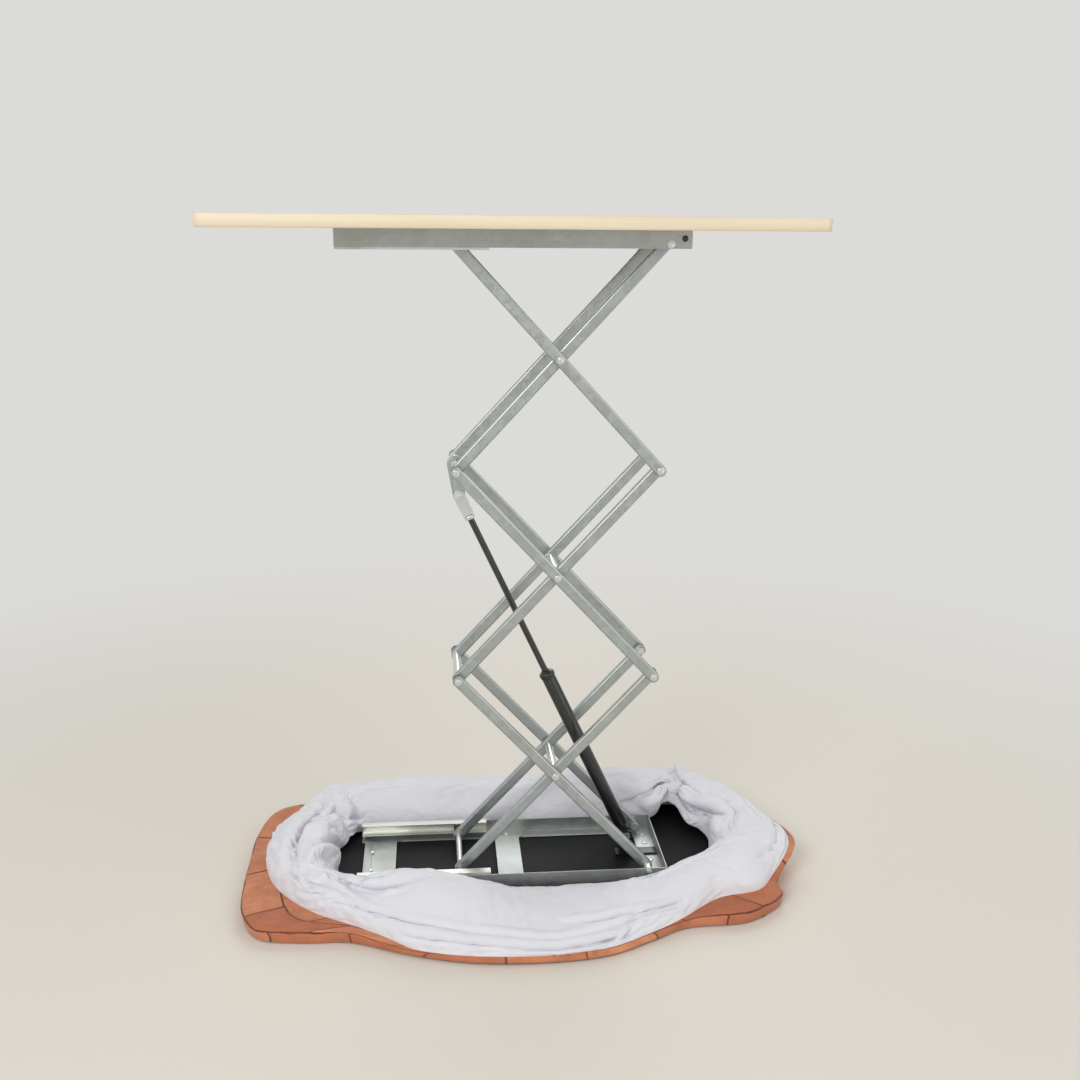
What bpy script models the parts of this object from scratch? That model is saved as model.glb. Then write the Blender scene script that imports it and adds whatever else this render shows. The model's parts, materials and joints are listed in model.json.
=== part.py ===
"""Portable counter: a board on a three-stage scissor frame with a gas strut, and its cloth cover let down.

Metres, +Z up. X runs along the counter, Y from the front to the rear. The origin is the middle of the
underside of the base board. The counter is modelled standing open.
"""
import bmesh
import bpy
from math import atan2, cos, degrees, pi, radians, sin, tau
from mathutils import Matrix, Vector

# Boards
TOP_LENGTH = 0.750
TOP_DEPTH = 0.340
TOP_CORNER = 0.012
TOP_THICKNESS = 0.016
BASE_LENGTH = 0.740
BASE_DEPTH = 0.328
BASE_CORNER = 0.050
BASE_THICKNESS = 0.016
BOARD_EASE = 0.0012

# Scissor
ARM_LENGTH = 0.400
ARM_WIDTH = 0.015
ARM_DEPTH = 0.010
ARM_WALL = 0.0012
ARM_CORNER = 0.0020
ARM_OVERHANG = 0.0095
ARM_END_EASE = 0.0004
OPEN_ANGLE = radians(47.2)
FIXED_PIVOT_X = 0.196
PIVOT_OFFSET = 0.0175
INNER_ARM_SPACING = 0.086
LAYER_GAP = 0.001

# Pins, shafts and rollers
PIN_DIAMETER = 0.007
HOLE_CLEARANCE = 0.0005
HEAD_DIAMETER = 0.0105
HEAD_HEIGHT = 0.0018
SHAFT_DIAMETER = 0.012
AXLE_DIAMETER = 0.0085
ROLLER_DIAMETER = 0.0134
ROLLER_WIDTH = 0.010
ROLLER_SIDE_GAP = 0.0025

# Steel frames
SHEET = 0.0015
RAIL_HEIGHT = 0.023
RAIL_WEB = 0.0185
RAIL_PAST_SLIDER = 0.019
RAIL_PAST_PIVOT = 0.027
SLIDE_PLAY = 0.0003
SLIDE_PAST_OPEN = 0.0435
PLATE_FLARE = 0.007
LEFT_PLATE_INSET = 0.005
LEFT_PLATE_WIDTH = 0.048
LEFT_PLATE_STEP = 0.012
MIDDLE_PLATE_X = -0.0015
MIDDLE_PLATE_WIDTH = 0.037
RIGHT_PLATE_WIDTH = 0.029

# Gas strut
STRUT_FOOT_BACK = 0.0225
STRUT_FOOT_RISE = 0.0183
LUG_ALONG = 0.0361
LUG_ASIDE = 0.0267
LUG_THICKNESS = 0.004
LUG_RIM = 0.005
CYLINDER_DIAMETER = 0.020
CYLINDER_LENGTH = 0.275
CYLINDER_START = 0.015
CYLINDER_EASE = 0.003
BORE_END_WALL = 0.012
ROD_DIAMETER = 0.009
ROD_CLEARANCE = 0.0004
ROD_HELD = 0.018
STRUT_PIN_DIAMETER = 0.006
EYE_RIM = 0.005
EYE_WIDTH = 0.011
CLEVIS_BLOCK = 0.015
CLEVIS_REACH = 0.030
CLEVIS_TINE = 0.0035
CLEVIS_TIP = 0.008
CLEVIS_NUT_HEIGHT = 0.003
CLEVIS_NUT_DIAMETER = 0.009
BRACKET_SHEET = 0.003
BRACKET_LENGTH = 0.062
BRACKET_RIM = 0.006

# Cloth cover, let down round the base
COVER_LEFT_GAP = 0.027
COVER_RIGHT_GAP = 0.077
COVER_SIDE_GAP = 0.008
COVER_INNER_CORNER = 0.040
COVER_ROLL_DEPTH = 0.30
COVER_ROLLS = 3
COVER_SWAY = 0.5
COVER_GATHER = 0.004
COVER_GATHERS = 13
COVER_FULLNESS = 0.75
# Direction from the middle in degrees (0 right, 90 rear), reach past the board, height of the ring
COVER_PLACES = (
    (0, 0.057, 0.078), (24, 0.039, 0.088), (50, 0.028, 0.100), (90, 0.024, 0.090),
    (130, 0.024, 0.098), (156, 0.010, 0.092), (180, 0.012, 0.088), (204, 0.005, 0.074),
    (217, 0.012, 0.074), (232, 0.044, 0.068), (248, 0.070, 0.058), (282, 0.077, 0.046),
    (303, 0.069, 0.054), (320, 0.018, 0.066), (336, 0.006, 0.072), (348, 0.024, 0.074),
)

# Resting clearance between touching pieces, and counts for round shapes
SEAT = 0.0003
ROUND_SIDES = 12
STRUT_SIDES = 20
CORNER_STEPS = 4
BOARD_CORNER_STEPS = 6
TUBE_CORNER_STEPS = 2
COVER_LONG_STEPS = 15
COVER_SHORT_STEPS = 7
COVER_ARC_STEPS = 15

# Heights and stations worked out from the sizes above
STAGE_RISE = ARM_LENGTH * sin(OPEN_ANGLE)
SLIDER_X = FIXED_PIVOT_X - ARM_LENGTH * cos(OPEN_ANGLE)
CENTRE_X = (FIXED_PIVOT_X + SLIDER_X) / 2
LEVELS = [BASE_THICKNESS + PIVOT_OFFSET + stage * STAGE_RISE for stage in range(4)]
TOP_UNDERSIDE = LEVELS[3] + PIVOT_OFFSET

INNER_NEAR = INNER_ARM_SPACING / 2
INNER_FAR = INNER_NEAR + ARM_DEPTH
OUTER_NEAR = INNER_FAR + LAYER_GAP
OUTER_FAR = OUTER_NEAR + ARM_DEPTH
ROLLER_NEAR = OUTER_FAR + ROLLER_SIDE_GAP
ROLLER_FAR = ROLLER_NEAR + ROLLER_WIDTH
SLIDE_BACK = ROLLER_FAR + 2 * SEAT
SLIDE_FAR = SLIDE_BACK + SHEET
RAIL_NEAR = SLIDE_FAR + SEAT
RAIL_FAR = RAIL_NEAR + SHEET
WEB_EDGE = RAIL_FAR - RAIL_WEB
PLATE_LEVEL = SEAT + SHEET + SEAT
PLATE_EDGE = RAIL_NEAR - SEAT
SLIDE_HALF = ROLLER_DIAMETER / 2 + SLIDE_PLAY + SHEET

RAIL_LEFT = FIXED_PIVOT_X - ARM_LENGTH - RAIL_PAST_SLIDER
RAIL_RIGHT = FIXED_PIVOT_X + RAIL_PAST_PIVOT
HOLE_RADIUS = PIN_DIAMETER / 2 + HOLE_CLEARANCE

STRUT_FOOT = Vector((FIXED_PIVOT_X - STRUT_FOOT_BACK, 0.0, LEVELS[0] + STRUT_FOOT_RISE))
ARM_FALL = Vector((cos(OPEN_ANGLE), 0.0, -sin(OPEN_ANGLE)))
ARM_ASIDE = Vector((-sin(OPEN_ANGLE), 0.0, -cos(OPEN_ANGLE)))
UPPER_NODE = Vector((SLIDER_X, 0.0, LEVELS[2]))
STRUT_HEAD = UPPER_NODE + LUG_ALONG * ARM_FALL + LUG_ASIDE * ARM_ASIDE
STRUT_LENGTH = (STRUT_HEAD - STRUT_FOOT).length

FINISHES = {
    "galvanised": ((0.46, 0.49, 0.47), 0.38, 0.9),
    "zinc": ((0.72, 0.73, 0.72), 0.28, 1.0),
    "wood": ((0.83, 0.72, 0.55), 0.55, 0.0),
    "black_board": ((0.015, 0.015, 0.017), 0.55, 0.0),
    "black_paint": ((0.012, 0.011, 0.012), 0.35, 0.0),
    "nylon": ((0.08, 0.08, 0.08), 0.5, 0.0),
    "cloth": ((0.74, 0.74, 0.79), 0.9, 0.0),
}


def finish(name):
    """The material of one finish, made once."""
    if name in bpy.data.materials:
        return bpy.data.materials[name]
    colour, roughness, metallic = FINISHES[name]
    material = bpy.data.materials.new(name)
    material.use_nodes = True
    shader = material.node_tree.nodes["Principled BSDF"]
    shader.inputs["Base Color"].default_value = (*colour, 1.0)
    shader.inputs["Roughness"].default_value = roughness
    shader.inputs["Metallic"].default_value = metallic
    return material


def carrier(name, pivot):
    """The empty on a body's joint axis, which its pieces are parented to."""
    empty = bpy.data.objects.new(name + "_axis", None)
    empty.location = pivot
    bpy.context.collection.objects.link(empty)
    return empty


def place(name, shape, body):
    """Turn a shape drawn in the counter's frame into an object on its body's axis."""
    mesh = bpy.data.meshes.new(name)
    shape.to_mesh(mesh)
    shape.free()
    mesh.transform(Matrix.Translation(-body.location))
    piece = bpy.data.objects.new(name, mesh)
    piece.parent = body
    bpy.context.collection.objects.link(piece)
    return piece


def add(name, shape, body, finish_name, smooth=False):
    """Place one piece of the counter with its finish."""
    piece = place(name, shape, body)
    piece.data.materials.append(finish(finish_name))
    if smooth:
        piece.data.shade_smooth()
        piece.data.set_sharp_from_angle(angle=radians(40))
    return piece


def combine(piece, tool, operation):
    """Cut a piece with a hidden tool shape, or join the tool's shape to it."""
    helper = place(piece.name + "_" + operation.lower(), tool, piece.parent)
    helper.hide_render = True
    helper.display_type = "WIRE"
    modifier = piece.modifiers.new(operation.title(), "BOOLEAN")
    modifier.operation = operation
    modifier.object = helper


def along_x(y, z, x):
    return x, y, z


def along_y(x, z, y):
    return x, y, z


def along_z(x, y, z):
    return x, y, z


def prism(outline, direction, start, end):
    """A closed solid: a flat outline drawn out between two stations."""
    shape = bmesh.new()
    face = shape.faces.new([shape.verts.new(direction(a, b, start)) for a, b in outline])
    drawn = bmesh.ops.extrude_face_region(shape, geom=[face], use_keep_orig=True)
    tip = [item for item in drawn["geom"] if isinstance(item, bmesh.types.BMVert)]
    shift = Vector(direction(0, 0, end)) - Vector(direction(0, 0, start))
    bmesh.ops.translate(shape, verts=tip, vec=shift)
    bmesh.ops.recalc_face_normals(shape, faces=shape.faces)
    return shape


def box(x0, x1, y0, y1, z0, z1):
    return prism([(x0, y0), (x1, y0), (x1, y1), (x0, y1)], along_z, z0, z1)


def ring_solid(sections):
    """A closed solid through a ring of sections, each joined to the next and the last to the first."""
    shape = bmesh.new()
    loops = [[shape.verts.new(point) for point in section] for section in sections]
    for loop, following in zip(loops, loops[1:] + loops[:1]):
        for index in range(len(loop)):
            shape.faces.new((loop[index - 1], loop[index], following[index], following[index - 1]))
    bmesh.ops.recalc_face_normals(shape, faces=shape.faces)
    return shape


def merged(*shapes):
    """Several shapes in one bmesh, as a cutter with separate bodies."""
    whole = shapes[0]
    for shape in shapes[1:]:
        mesh = bpy.data.meshes.new("merge")
        shape.to_mesh(mesh)
        shape.free()
        whole.from_mesh(mesh)
        bpy.data.meshes.remove(mesh)
    return whole


def turned(profile, centre=(0.0, 0.0, 0.0), sides=ROUND_SIDES, ring=False):
    """A turned solid about the Y axis through centre, from a profile of (radius, y)."""
    shape = bmesh.new()
    verts = [shape.verts.new((radius, y, 0.0)) for radius, y in profile]
    ends = verts[1:] + verts[:1] if ring else verts[1:]
    edges = [shape.edges.new(pair) for pair in zip(verts, ends)]
    bmesh.ops.spin(shape, geom=verts + edges, cent=(0, 0, 0), axis=(0, 1, 0),
                   angle=tau, steps=sides, use_merge=True)
    bmesh.ops.remove_doubles(shape, verts=shape.verts, dist=1e-6)
    bmesh.ops.recalc_face_normals(shape, faces=shape.faces)
    bmesh.ops.translate(shape, verts=shape.verts, vec=centre)
    return shape


def stepped(steps, centre, sides=ROUND_SIDES):
    """A solid shaft along Y: steps of (radius, from y, to y), each meeting the next."""
    profile = [(0.0, steps[0][1])]
    for radius, start, end in steps:
        profile += [(radius, start), (radius, end)]
    profile.append((0.0, steps[-1][2]))
    return turned(profile, centre, sides)


def mirrored(steps):
    """The steps of a shaft that is the same at both ends, from those of its +Y half."""
    middle_radius, _, middle_end = steps[0]
    near = [(radius, -end, -start) for radius, start, end in reversed(steps[1:])]
    return near + [(middle_radius, -middle_end, middle_end)] + list(steps[1:])


def flipped(steps):
    return [(radius, -end, -start) for radius, start, end in reversed(steps)]


def drill(x, z, near, far, radius=HOLE_RADIUS):
    """A round cutter along Y."""
    return stepped([(radius, near, far)], (x, 0.0, z))


def rounded_rectangle(x0, x1, y0, y1, radius, corner_steps, long_steps=1, short_steps=1):
    """An outline from the front right corner, counter-clockwise, with even points on its sides."""
    corners = ((x1 - radius, y0 + radius), (x1 - radius, y1 - radius),
               (x0 + radius, y1 - radius), (x0 + radius, y0 + radius))
    outline = []
    for index, (x, y) in enumerate(corners):
        for step in range(corner_steps + 1):
            angle = (index - 1 + step / corner_steps) * pi / 2
            outline.append(Vector((x + radius * cos(angle), y + radius * sin(angle))))
        following = Vector(corners[(index + 1) % 4])
        turn = index * pi / 2
        following += Vector((radius * cos(turn), radius * sin(turn)))
        steps = long_steps if index % 2 else short_steps
        last = outline[-1]
        outline += [last.lerp(following, step / steps) for step in range(1, steps)]
    return outline


def board(name, length, depth, corner, bottom, thickness, body, finish_name):
    """A flat board with rounded corners and eased edges."""
    outline = rounded_rectangle(-length / 2, length / 2, -depth / 2, depth / 2, corner, BOARD_CORNER_STEPS)
    shape = prism(outline, along_z, bottom, bottom + thickness)
    rims = [edge for edge in shape.edges if abs(edge.verts[0].co.z - edge.verts[1].co.z) < thickness / 2]
    bmesh.ops.bevel(shape, geom=rims, offset=BOARD_EASE, segments=1, affect="EDGES", profile=0.5)
    add(name, shape, body, finish_name)


def plate_outline(x0, x1, flare_left, flare_right):
    """A cross plate whose ends flare into the rails, so that the openings beside it have round corners."""
    def flare(x, outward, side):
        arc = []
        for step in range(CORNER_STEPS + 1):
            angle = step / CORNER_STEPS * pi / 2
            arc.append((x + outward * PLATE_FLARE * (1 - cos(angle)),
                        side * (WEB_EDGE - PLATE_FLARE * (1 - sin(angle)))))
        return arc + [(x + outward * PLATE_FLARE, side * PLATE_EDGE)]

    right_low = flare(x1, 1, -1) if flare_right else [(x1, -PLATE_EDGE)]
    right_high = flare(x1, 1, 1) if flare_right else [(x1, PLATE_EDGE)]
    left_high = flare(x0, -1, 1) if flare_left else [(x0, PLATE_EDGE)]
    left_low = flare(x0, -1, -1) if flare_left else [(x0, -PLATE_EDGE)]
    return right_low[::-1] + right_high + left_high[::-1] + left_low


def steel_frame(prefix, face, up, body):
    """The rails, slide channels and cross plates on a board's face. up is 1 on the base, -1 under the top."""
    def height(above):
        return face + up * above

    def section(points, side):
        return [(side * y, height(above)) for y, above in points]

    rail = ((WEB_EDGE, SEAT), (RAIL_FAR, SEAT), (RAIL_FAR, RAIL_HEIGHT), (RAIL_NEAR, RAIL_HEIGHT),
            (RAIL_NEAR, SEAT + SHEET), (WEB_EDGE, SEAT + SHEET))
    low, high = PIVOT_OFFSET - SLIDE_HALF, PIVOT_OFFSET + SLIDE_HALF
    slide = ((ROLLER_NEAR, low), (SLIDE_FAR, low), (SLIDE_FAR, high), (ROLLER_NEAR, high),
             (ROLLER_NEAR, high - SHEET), (SLIDE_BACK, high - SHEET),
             (SLIDE_BACK, low + SHEET), (ROLLER_NEAR, low + SHEET))
    for end, side in (("front", -1), ("rear", 1)):
        piece = add(f"{prefix}_{end}_rail", prism(section(rail, side), along_x, RAIL_LEFT, RAIL_RIGHT),
                    body, "galvanised")
        hole = sorted((side * (RAIL_NEAR - SHEET), side * (RAIL_FAR + SHEET)))
        combine(piece, drill(FIXED_PIVOT_X, height(PIVOT_OFFSET), *hole), "DIFFERENCE")
        add(f"{prefix}_{end}_slide",
            prism(section(slide, side), along_x, RAIL_LEFT, SLIDER_X + SLIDE_PAST_OPEN), body, "galvanised")

    bottom, top = height(PLATE_LEVEL), height(PLATE_LEVEL + SHEET)
    left = RAIL_LEFT + LEFT_PLATE_INSET
    outline = plate_outline(left, left + LEFT_PLATE_WIDTH, False, True)
    piece = add(f"{prefix}_left_plate", prism(outline, along_z, bottom, top), body, "galvanised")
    step = sorted((height(PLATE_LEVEL + SHEET / 2), height(PLATE_LEVEL + 2 * SHEET)))
    combine(piece, box(left, left + LEFT_PLATE_STEP, -WEB_EDGE, WEB_EDGE, *step), "UNION")

    outline = plate_outline(MIDDLE_PLATE_X - MIDDLE_PLATE_WIDTH / 2, MIDDLE_PLATE_X + MIDDLE_PLATE_WIDTH / 2,
                            True, True)
    add(f"{prefix}_middle_plate", prism(outline, along_z, bottom, top), body, "galvanised")

    outline = plate_outline(RAIL_RIGHT - RIGHT_PLATE_WIDTH, RAIL_RIGHT, True, False)
    piece = add(f"{prefix}_right_plate", prism(outline, along_z, bottom, top), body, "galvanised")
    flange = sorted((bottom, height(RAIL_HEIGHT)))
    combine(piece, box(RAIL_RIGHT - SHEET, RAIL_RIGHT, -PLATE_EDGE, PLATE_EDGE, *flange), "UNION")


def arm_mesh():
    """One scissor arm as a drilled rectangular tube along +X with rounded ends, its first pin at the origin."""
    def ring(inset):
        radius = max(ARM_CORNER - inset, ARM_CORNER / 4)
        return rounded_rectangle(inset - ARM_DEPTH / 2, ARM_DEPTH / 2 - inset,
                                 inset - ARM_WIDTH / 2, ARM_WIDTH / 2 - inset, radius, TUBE_CORNER_STEPS)

    stations = ((-ARM_OVERHANG, 0.0), (ARM_LENGTH + ARM_OVERHANG, 0.0),
                (ARM_LENGTH + ARM_OVERHANG, ARM_WALL), (-ARM_OVERHANG, ARM_WALL))
    shape = ring_solid([[(x, y, z) for y, z in ring(inset)] for x, inset in stations])
    origin = carrier("arm_pattern", (0.0, 0.0, 0.0))
    pattern = place("arm_pattern", shape, origin)
    end_radius = ARM_WIDTH / 2 + ARM_END_EASE
    ends = capsule(Vector((0.0, 0.0, 0.0)), end_radius, Vector((ARM_LENGTH, 0.0, 0.0)), end_radius)
    combine(pattern, prism(ends, along_y, -ARM_DEPTH, ARM_DEPTH), "INTERSECT")
    cutters = [drill(x, 0.0, -ARM_DEPTH, ARM_DEPTH) for x in (0.0, ARM_LENGTH / 2, ARM_LENGTH)]
    combine(pattern, merged(*cutters), "DIFFERENCE")
    scene_graph = bpy.context.evaluated_depsgraph_get()
    mesh = bpy.data.meshes.new_from_object(pattern.evaluated_get(scene_graph))
    for helper in (*(modifier.object for modifier in pattern.modifiers), pattern, origin):
        bpy.data.objects.remove(helper)
    return mesh


def arm_pair(name, mesh, start, end, near, body):
    """The front and rear arms of one scissor bar, from one pin to the other."""
    angle = atan2(end.z - start.z, end.x - start.x)
    for side_name, side in (("front", -1), ("rear", 1)):
        arm = bpy.data.objects.new(f"{name}_arm_{side_name}", mesh)
        arm.parent = body
        arm.location = Vector((start.x, side * (near + ARM_DEPTH / 2), start.z)) - body.location
        arm.rotation_euler = (0.0, -angle, 0.0)
        bpy.context.collection.objects.link(arm)


def head(start):
    """A low domed head on the +Y end of a pin."""
    return ((HEAD_DIAMETER / 2, start, start + HEAD_HEIGHT / 2),
            (HEAD_DIAMETER / 3, start + HEAD_HEIGHT / 2, start + HEAD_HEIGHT))


def inner_head(end):
    return ((HEAD_DIAMETER / 2, end - HEAD_HEIGHT, end),)


def cross_shaft(name, pivot, body):
    """A spacer shaft between the inner arms, with pins through both layers and riveted heads."""
    steps = mirrored(((SHAFT_DIAMETER / 2, 0.0, INNER_NEAR - SEAT),
                      (PIN_DIAMETER / 2, INNER_NEAR - SEAT, OUTER_FAR + SEAT), *head(OUTER_FAR + SEAT)))
    return add(name, stepped(steps, pivot), body, "zinc", smooth=True)


def pin_pair(name, pivot, steps, body):
    for side_name, side_steps in (("front", flipped(steps)), ("rear", steps)):
        add(f"{name}_{side_name}", stepped(side_steps, pivot), body, "zinc", smooth=True)


def node_rivets(name, pivot, body):
    """Short rivets that join the two layers of arms at a right-hand node."""
    pin_pair(name, pivot, (*inner_head(INNER_NEAR - SEAT),
                           (PIN_DIAMETER / 2, INNER_NEAR - SEAT, OUTER_FAR + SEAT),
                           *head(OUTER_FAR + SEAT)), body)


def frame_pins(name, pivot, near, far, body):
    """Fixed pivots from a frame's rails to the arms whose faces lie at near and far."""
    pin_pair(name, pivot, (*inner_head(near - SEAT), (PIN_DIAMETER / 2, near - SEAT, far + SEAT),
                           (SHAFT_DIAMETER / 2, far + SEAT, RAIL_NEAR - SEAT),
                           (PIN_DIAMETER / 2, RAIL_NEAR - SEAT, RAIL_FAR + SEAT),
                           *head(RAIL_FAR + SEAT)), body)


def roller_set(name, pivot, near, far, arms, rollers):
    """An axle through the arms at a sliding end, and a roller on each end of it."""
    steps = mirrored(((AXLE_DIAMETER / 2, 0.0, near - SEAT), (PIN_DIAMETER / 2, near - SEAT, far + SEAT),
                      (AXLE_DIAMETER / 2, far + SEAT, ROLLER_NEAR - SEAT),
                      (PIN_DIAMETER / 2, ROLLER_NEAR - SEAT, ROLLER_FAR)))
    add(f"{name}_roller_axle", stepped(steps, pivot), arms, "zinc", smooth=True)
    for side_name, side in (("front", -1), ("rear", 1)):
        ring = [(HOLE_RADIUS, side * ROLLER_NEAR), (ROLLER_DIAMETER / 2, side * ROLLER_NEAR),
                (ROLLER_DIAMETER / 2, side * ROLLER_FAR), (HOLE_RADIUS, side * ROLLER_FAR)]
        add(f"{name}_roller_{side_name}", turned(ring, pivot, STRUT_SIDES, ring=True), rollers, "nylon",
            smooth=True)


def capsule(first, first_radius, second, second_radius):
    """The outline of two round ends joined by straight sides, as (x, z) points."""
    heading = atan2(second.z - first.z, second.x - first.x)
    outline = []
    for centre, radius, start in ((first, first_radius, heading + pi / 2),
                                  (second, second_radius, heading - pi / 2)):
        for step in range(2 * CORNER_STEPS + 1):
            angle = start + step / (2 * CORNER_STEPS) * pi
            outline.append((centre.x + radius * cos(angle), centre.z + radius * sin(angle)))
    return outline


def along_strut(shape):
    """Move a shape drawn along +Y from the strut's foot into the strut's own direction."""
    heading = (STRUT_HEAD - STRUT_FOOT).normalized()
    turn = Vector((0.0, 1.0, 0.0)).rotation_difference(heading).to_matrix().to_4x4()
    shape.transform(Matrix.Translation(STRUT_FOOT) @ turn)
    return shape


def gas_strut(base, cylinder_body, rod_body, lug_body):
    """The strut from its bracket on the base to the lug under the upper left shaft."""
    heading = (STRUT_HEAD - STRUT_FOOT).normalized()
    foot_hole = STRUT_PIN_DIAMETER / 2 + HOLE_CLEARANCE
    eye_radius = foot_hole + EYE_RIM
    top = CYLINDER_START + CYLINDER_LENGTH
    bore = ROD_DIAMETER / 2 + ROD_CLEARANCE
    radius = CYLINDER_DIAMETER / 2
    profile = [(0.0, CYLINDER_START), (radius - CYLINDER_EASE, CYLINDER_START),
               (radius, CYLINDER_START + CYLINDER_EASE), (radius, top - CYLINDER_EASE),
               (radius - CYLINDER_EASE, top), (bore, top), (bore, CYLINDER_START + BORE_END_WALL),
               (0.0, CYLINDER_START + BORE_END_WALL)]
    cylinder = add("strut_cylinder", along_strut(turned(profile, sides=STRUT_SIDES)), cylinder_body,
                   "black_paint", smooth=True)
    neck = STRUT_FOOT + (CYLINDER_START + BORE_END_WALL / 2) * heading
    eye = prism(capsule(STRUT_FOOT, eye_radius, neck, EYE_WIDTH / 2), along_y, -EYE_WIDTH / 2, EYE_WIDTH / 2)
    combine(cylinder, eye, "UNION")
    combine(cylinder, drill(STRUT_FOOT.x, STRUT_FOOT.z, -EYE_WIDTH, EYE_WIDTH, foot_hole), "DIFFERENCE")

    rod_end = STRUT_LENGTH - CLEVIS_REACH - SEAT
    rod = stepped([(ROD_DIAMETER / 2, top - ROD_HELD, rod_end)], (0.0, 0.0, 0.0))
    add("strut_rod", along_strut(rod), rod_body, "black_paint", smooth=True)

    fork = LUG_THICKNESS / 2 + SEAT
    cheek = fork + CLEVIS_TINE
    block_end = STRUT_HEAD - (CLEVIS_REACH - CLEVIS_BLOCK) * heading
    across = Vector((-heading.z, 0.0, heading.x)) * CLEVIS_BLOCK / 2
    block_start = STRUT_HEAD - CLEVIS_REACH * heading
    block = [block_start - across, block_start + across, block_end + across, block_end - across]
    clevis = add("strut_clevis", prism([(p.x, p.z) for p in block], along_y, -cheek, cheek), rod_body, "zinc")
    inside = block_end - CLEVIS_BLOCK / 4 * heading
    tines = capsule(inside, CLEVIS_TIP, STRUT_HEAD, CLEVIS_TIP)
    combine(clevis, merged(prism(tines, along_y, -cheek, -fork), prism(tines, along_y, fork, cheek)), "UNION")
    nut = CLEVIS_NUT_DIAMETER / 2
    nut_steps = [(nut, cheek - SEAT, cheek + CLEVIS_NUT_HEIGHT)]
    nuts = [stepped(steps, STRUT_HEAD, sides=6) for steps in (nut_steps, flipped(nut_steps))]
    combine(clevis, merged(*nuts), "UNION")

    shaft_hole = SHAFT_DIAMETER / 2 + HOLE_CLEARANCE
    lug = add("strut_lug", prism(capsule(UPPER_NODE, shaft_hole + LUG_RIM, STRUT_HEAD, foot_hole + LUG_RIM),
                                 along_y, -LUG_THICKNESS / 2, LUG_THICKNESS / 2), lug_body, "zinc")
    combine(lug, merged(drill(UPPER_NODE.x, UPPER_NODE.z, -LUG_THICKNESS, LUG_THICKNESS, shaft_hole),
                        drill(STRUT_HEAD.x, STRUT_HEAD.z, -LUG_THICKNESS, LUG_THICKNESS, foot_hole)),
            "DIFFERENCE")

    floor = BASE_THICKNESS + PLATE_LEVEL + SHEET + SEAT
    right = RAIL_RIGHT - SHEET - SEAT
    inner = EYE_WIDTH / 2 + SEAT
    outer = inner + BRACKET_SHEET
    sole_plate = box(right - BRACKET_LENGTH, right, -outer, outer, floor, floor + BRACKET_SHEET)
    bracket = add("strut_bracket", sole_plate, base, "black_paint")
    sole = Vector((STRUT_FOOT.x, 0.0, floor + BRACKET_SHEET / 2))
    rim = foot_hole + BRACKET_RIM
    cheek_outline = [(sole.x - rim, sole.z), (sole.x + rim, sole.z)]
    for step in range(2 * CORNER_STEPS + 1):
        angle = step / (2 * CORNER_STEPS) * pi
        cheek_outline.append((STRUT_FOOT.x + rim * cos(angle), STRUT_FOOT.z + rim * sin(angle)))
    combine(bracket, merged(prism(cheek_outline, along_y, -outer, -inner),
                            prism(cheek_outline, along_y, inner, outer)), "UNION")
    combine(bracket, drill(STRUT_FOOT.x, STRUT_FOOT.z, -2 * outer, 2 * outer, foot_hole), "DIFFERENCE")
    pin_radius = STRUT_PIN_DIAMETER / 2
    pin_steps = mirrored(((pin_radius, 0.0, outer + SEAT),
                          (2 * pin_radius, outer + SEAT, outer + SEAT + HEAD_HEIGHT)))
    add("strut_lower_pin", stepped(pin_steps, STRUT_FOOT), base, "zinc", smooth=True)


def cover_place(angle):
    """Reach past the board and height of the cover in a direction, eased between the named places."""
    turn = degrees(angle) % 360
    for index, (start, reach, rise) in enumerate(COVER_PLACES):
        following = COVER_PLACES[(index + 1) % len(COVER_PLACES)]
        span = (following[0] - start) % 360
        if (turn - start) % 360 < span:
            ease = (1 - cos((turn - start) % 360 / span * pi)) / 2
            return reach + ease * (following[1] - reach), rise + ease * (following[2] - rise)
    raise ValueError("the places leave a gap")


def cover_section(edge, inner, angle, walk):
    """One section of the rolled-down cover: seated on the base board, over its edge and down to the floor."""
    reach, rise = cover_place(angle)
    outward = (edge - inner).normalized()
    inset = (edge - inner).length
    seat = BASE_THICKNESS + SEAT
    points = [(edge, seat), (edge, 0.0)]
    for step in range(COVER_ARC_STEPS + 1):
        sweep = step / COVER_ARC_STEPS * pi
        crease = 1 - abs(sin(COVER_ROLLS * sweep + COVER_SWAY * sin(2 * walk)))
        swell = 1 - COVER_ROLL_DEPTH * crease ** 2
        along = (reach - inset) / 2 + (reach + inset) / 2 * cos(sweep)
        gather = COVER_GATHER * sin(COVER_GATHERS * walk) * sin(sweep)
        lift = seat * (1 - cos(sweep)) / 2 + (rise - seat) * sin(sweep) ** COVER_FULLNESS * swell
        points.append((edge + along * outward, max(lift + gather, 0.0)))
    return points


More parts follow.
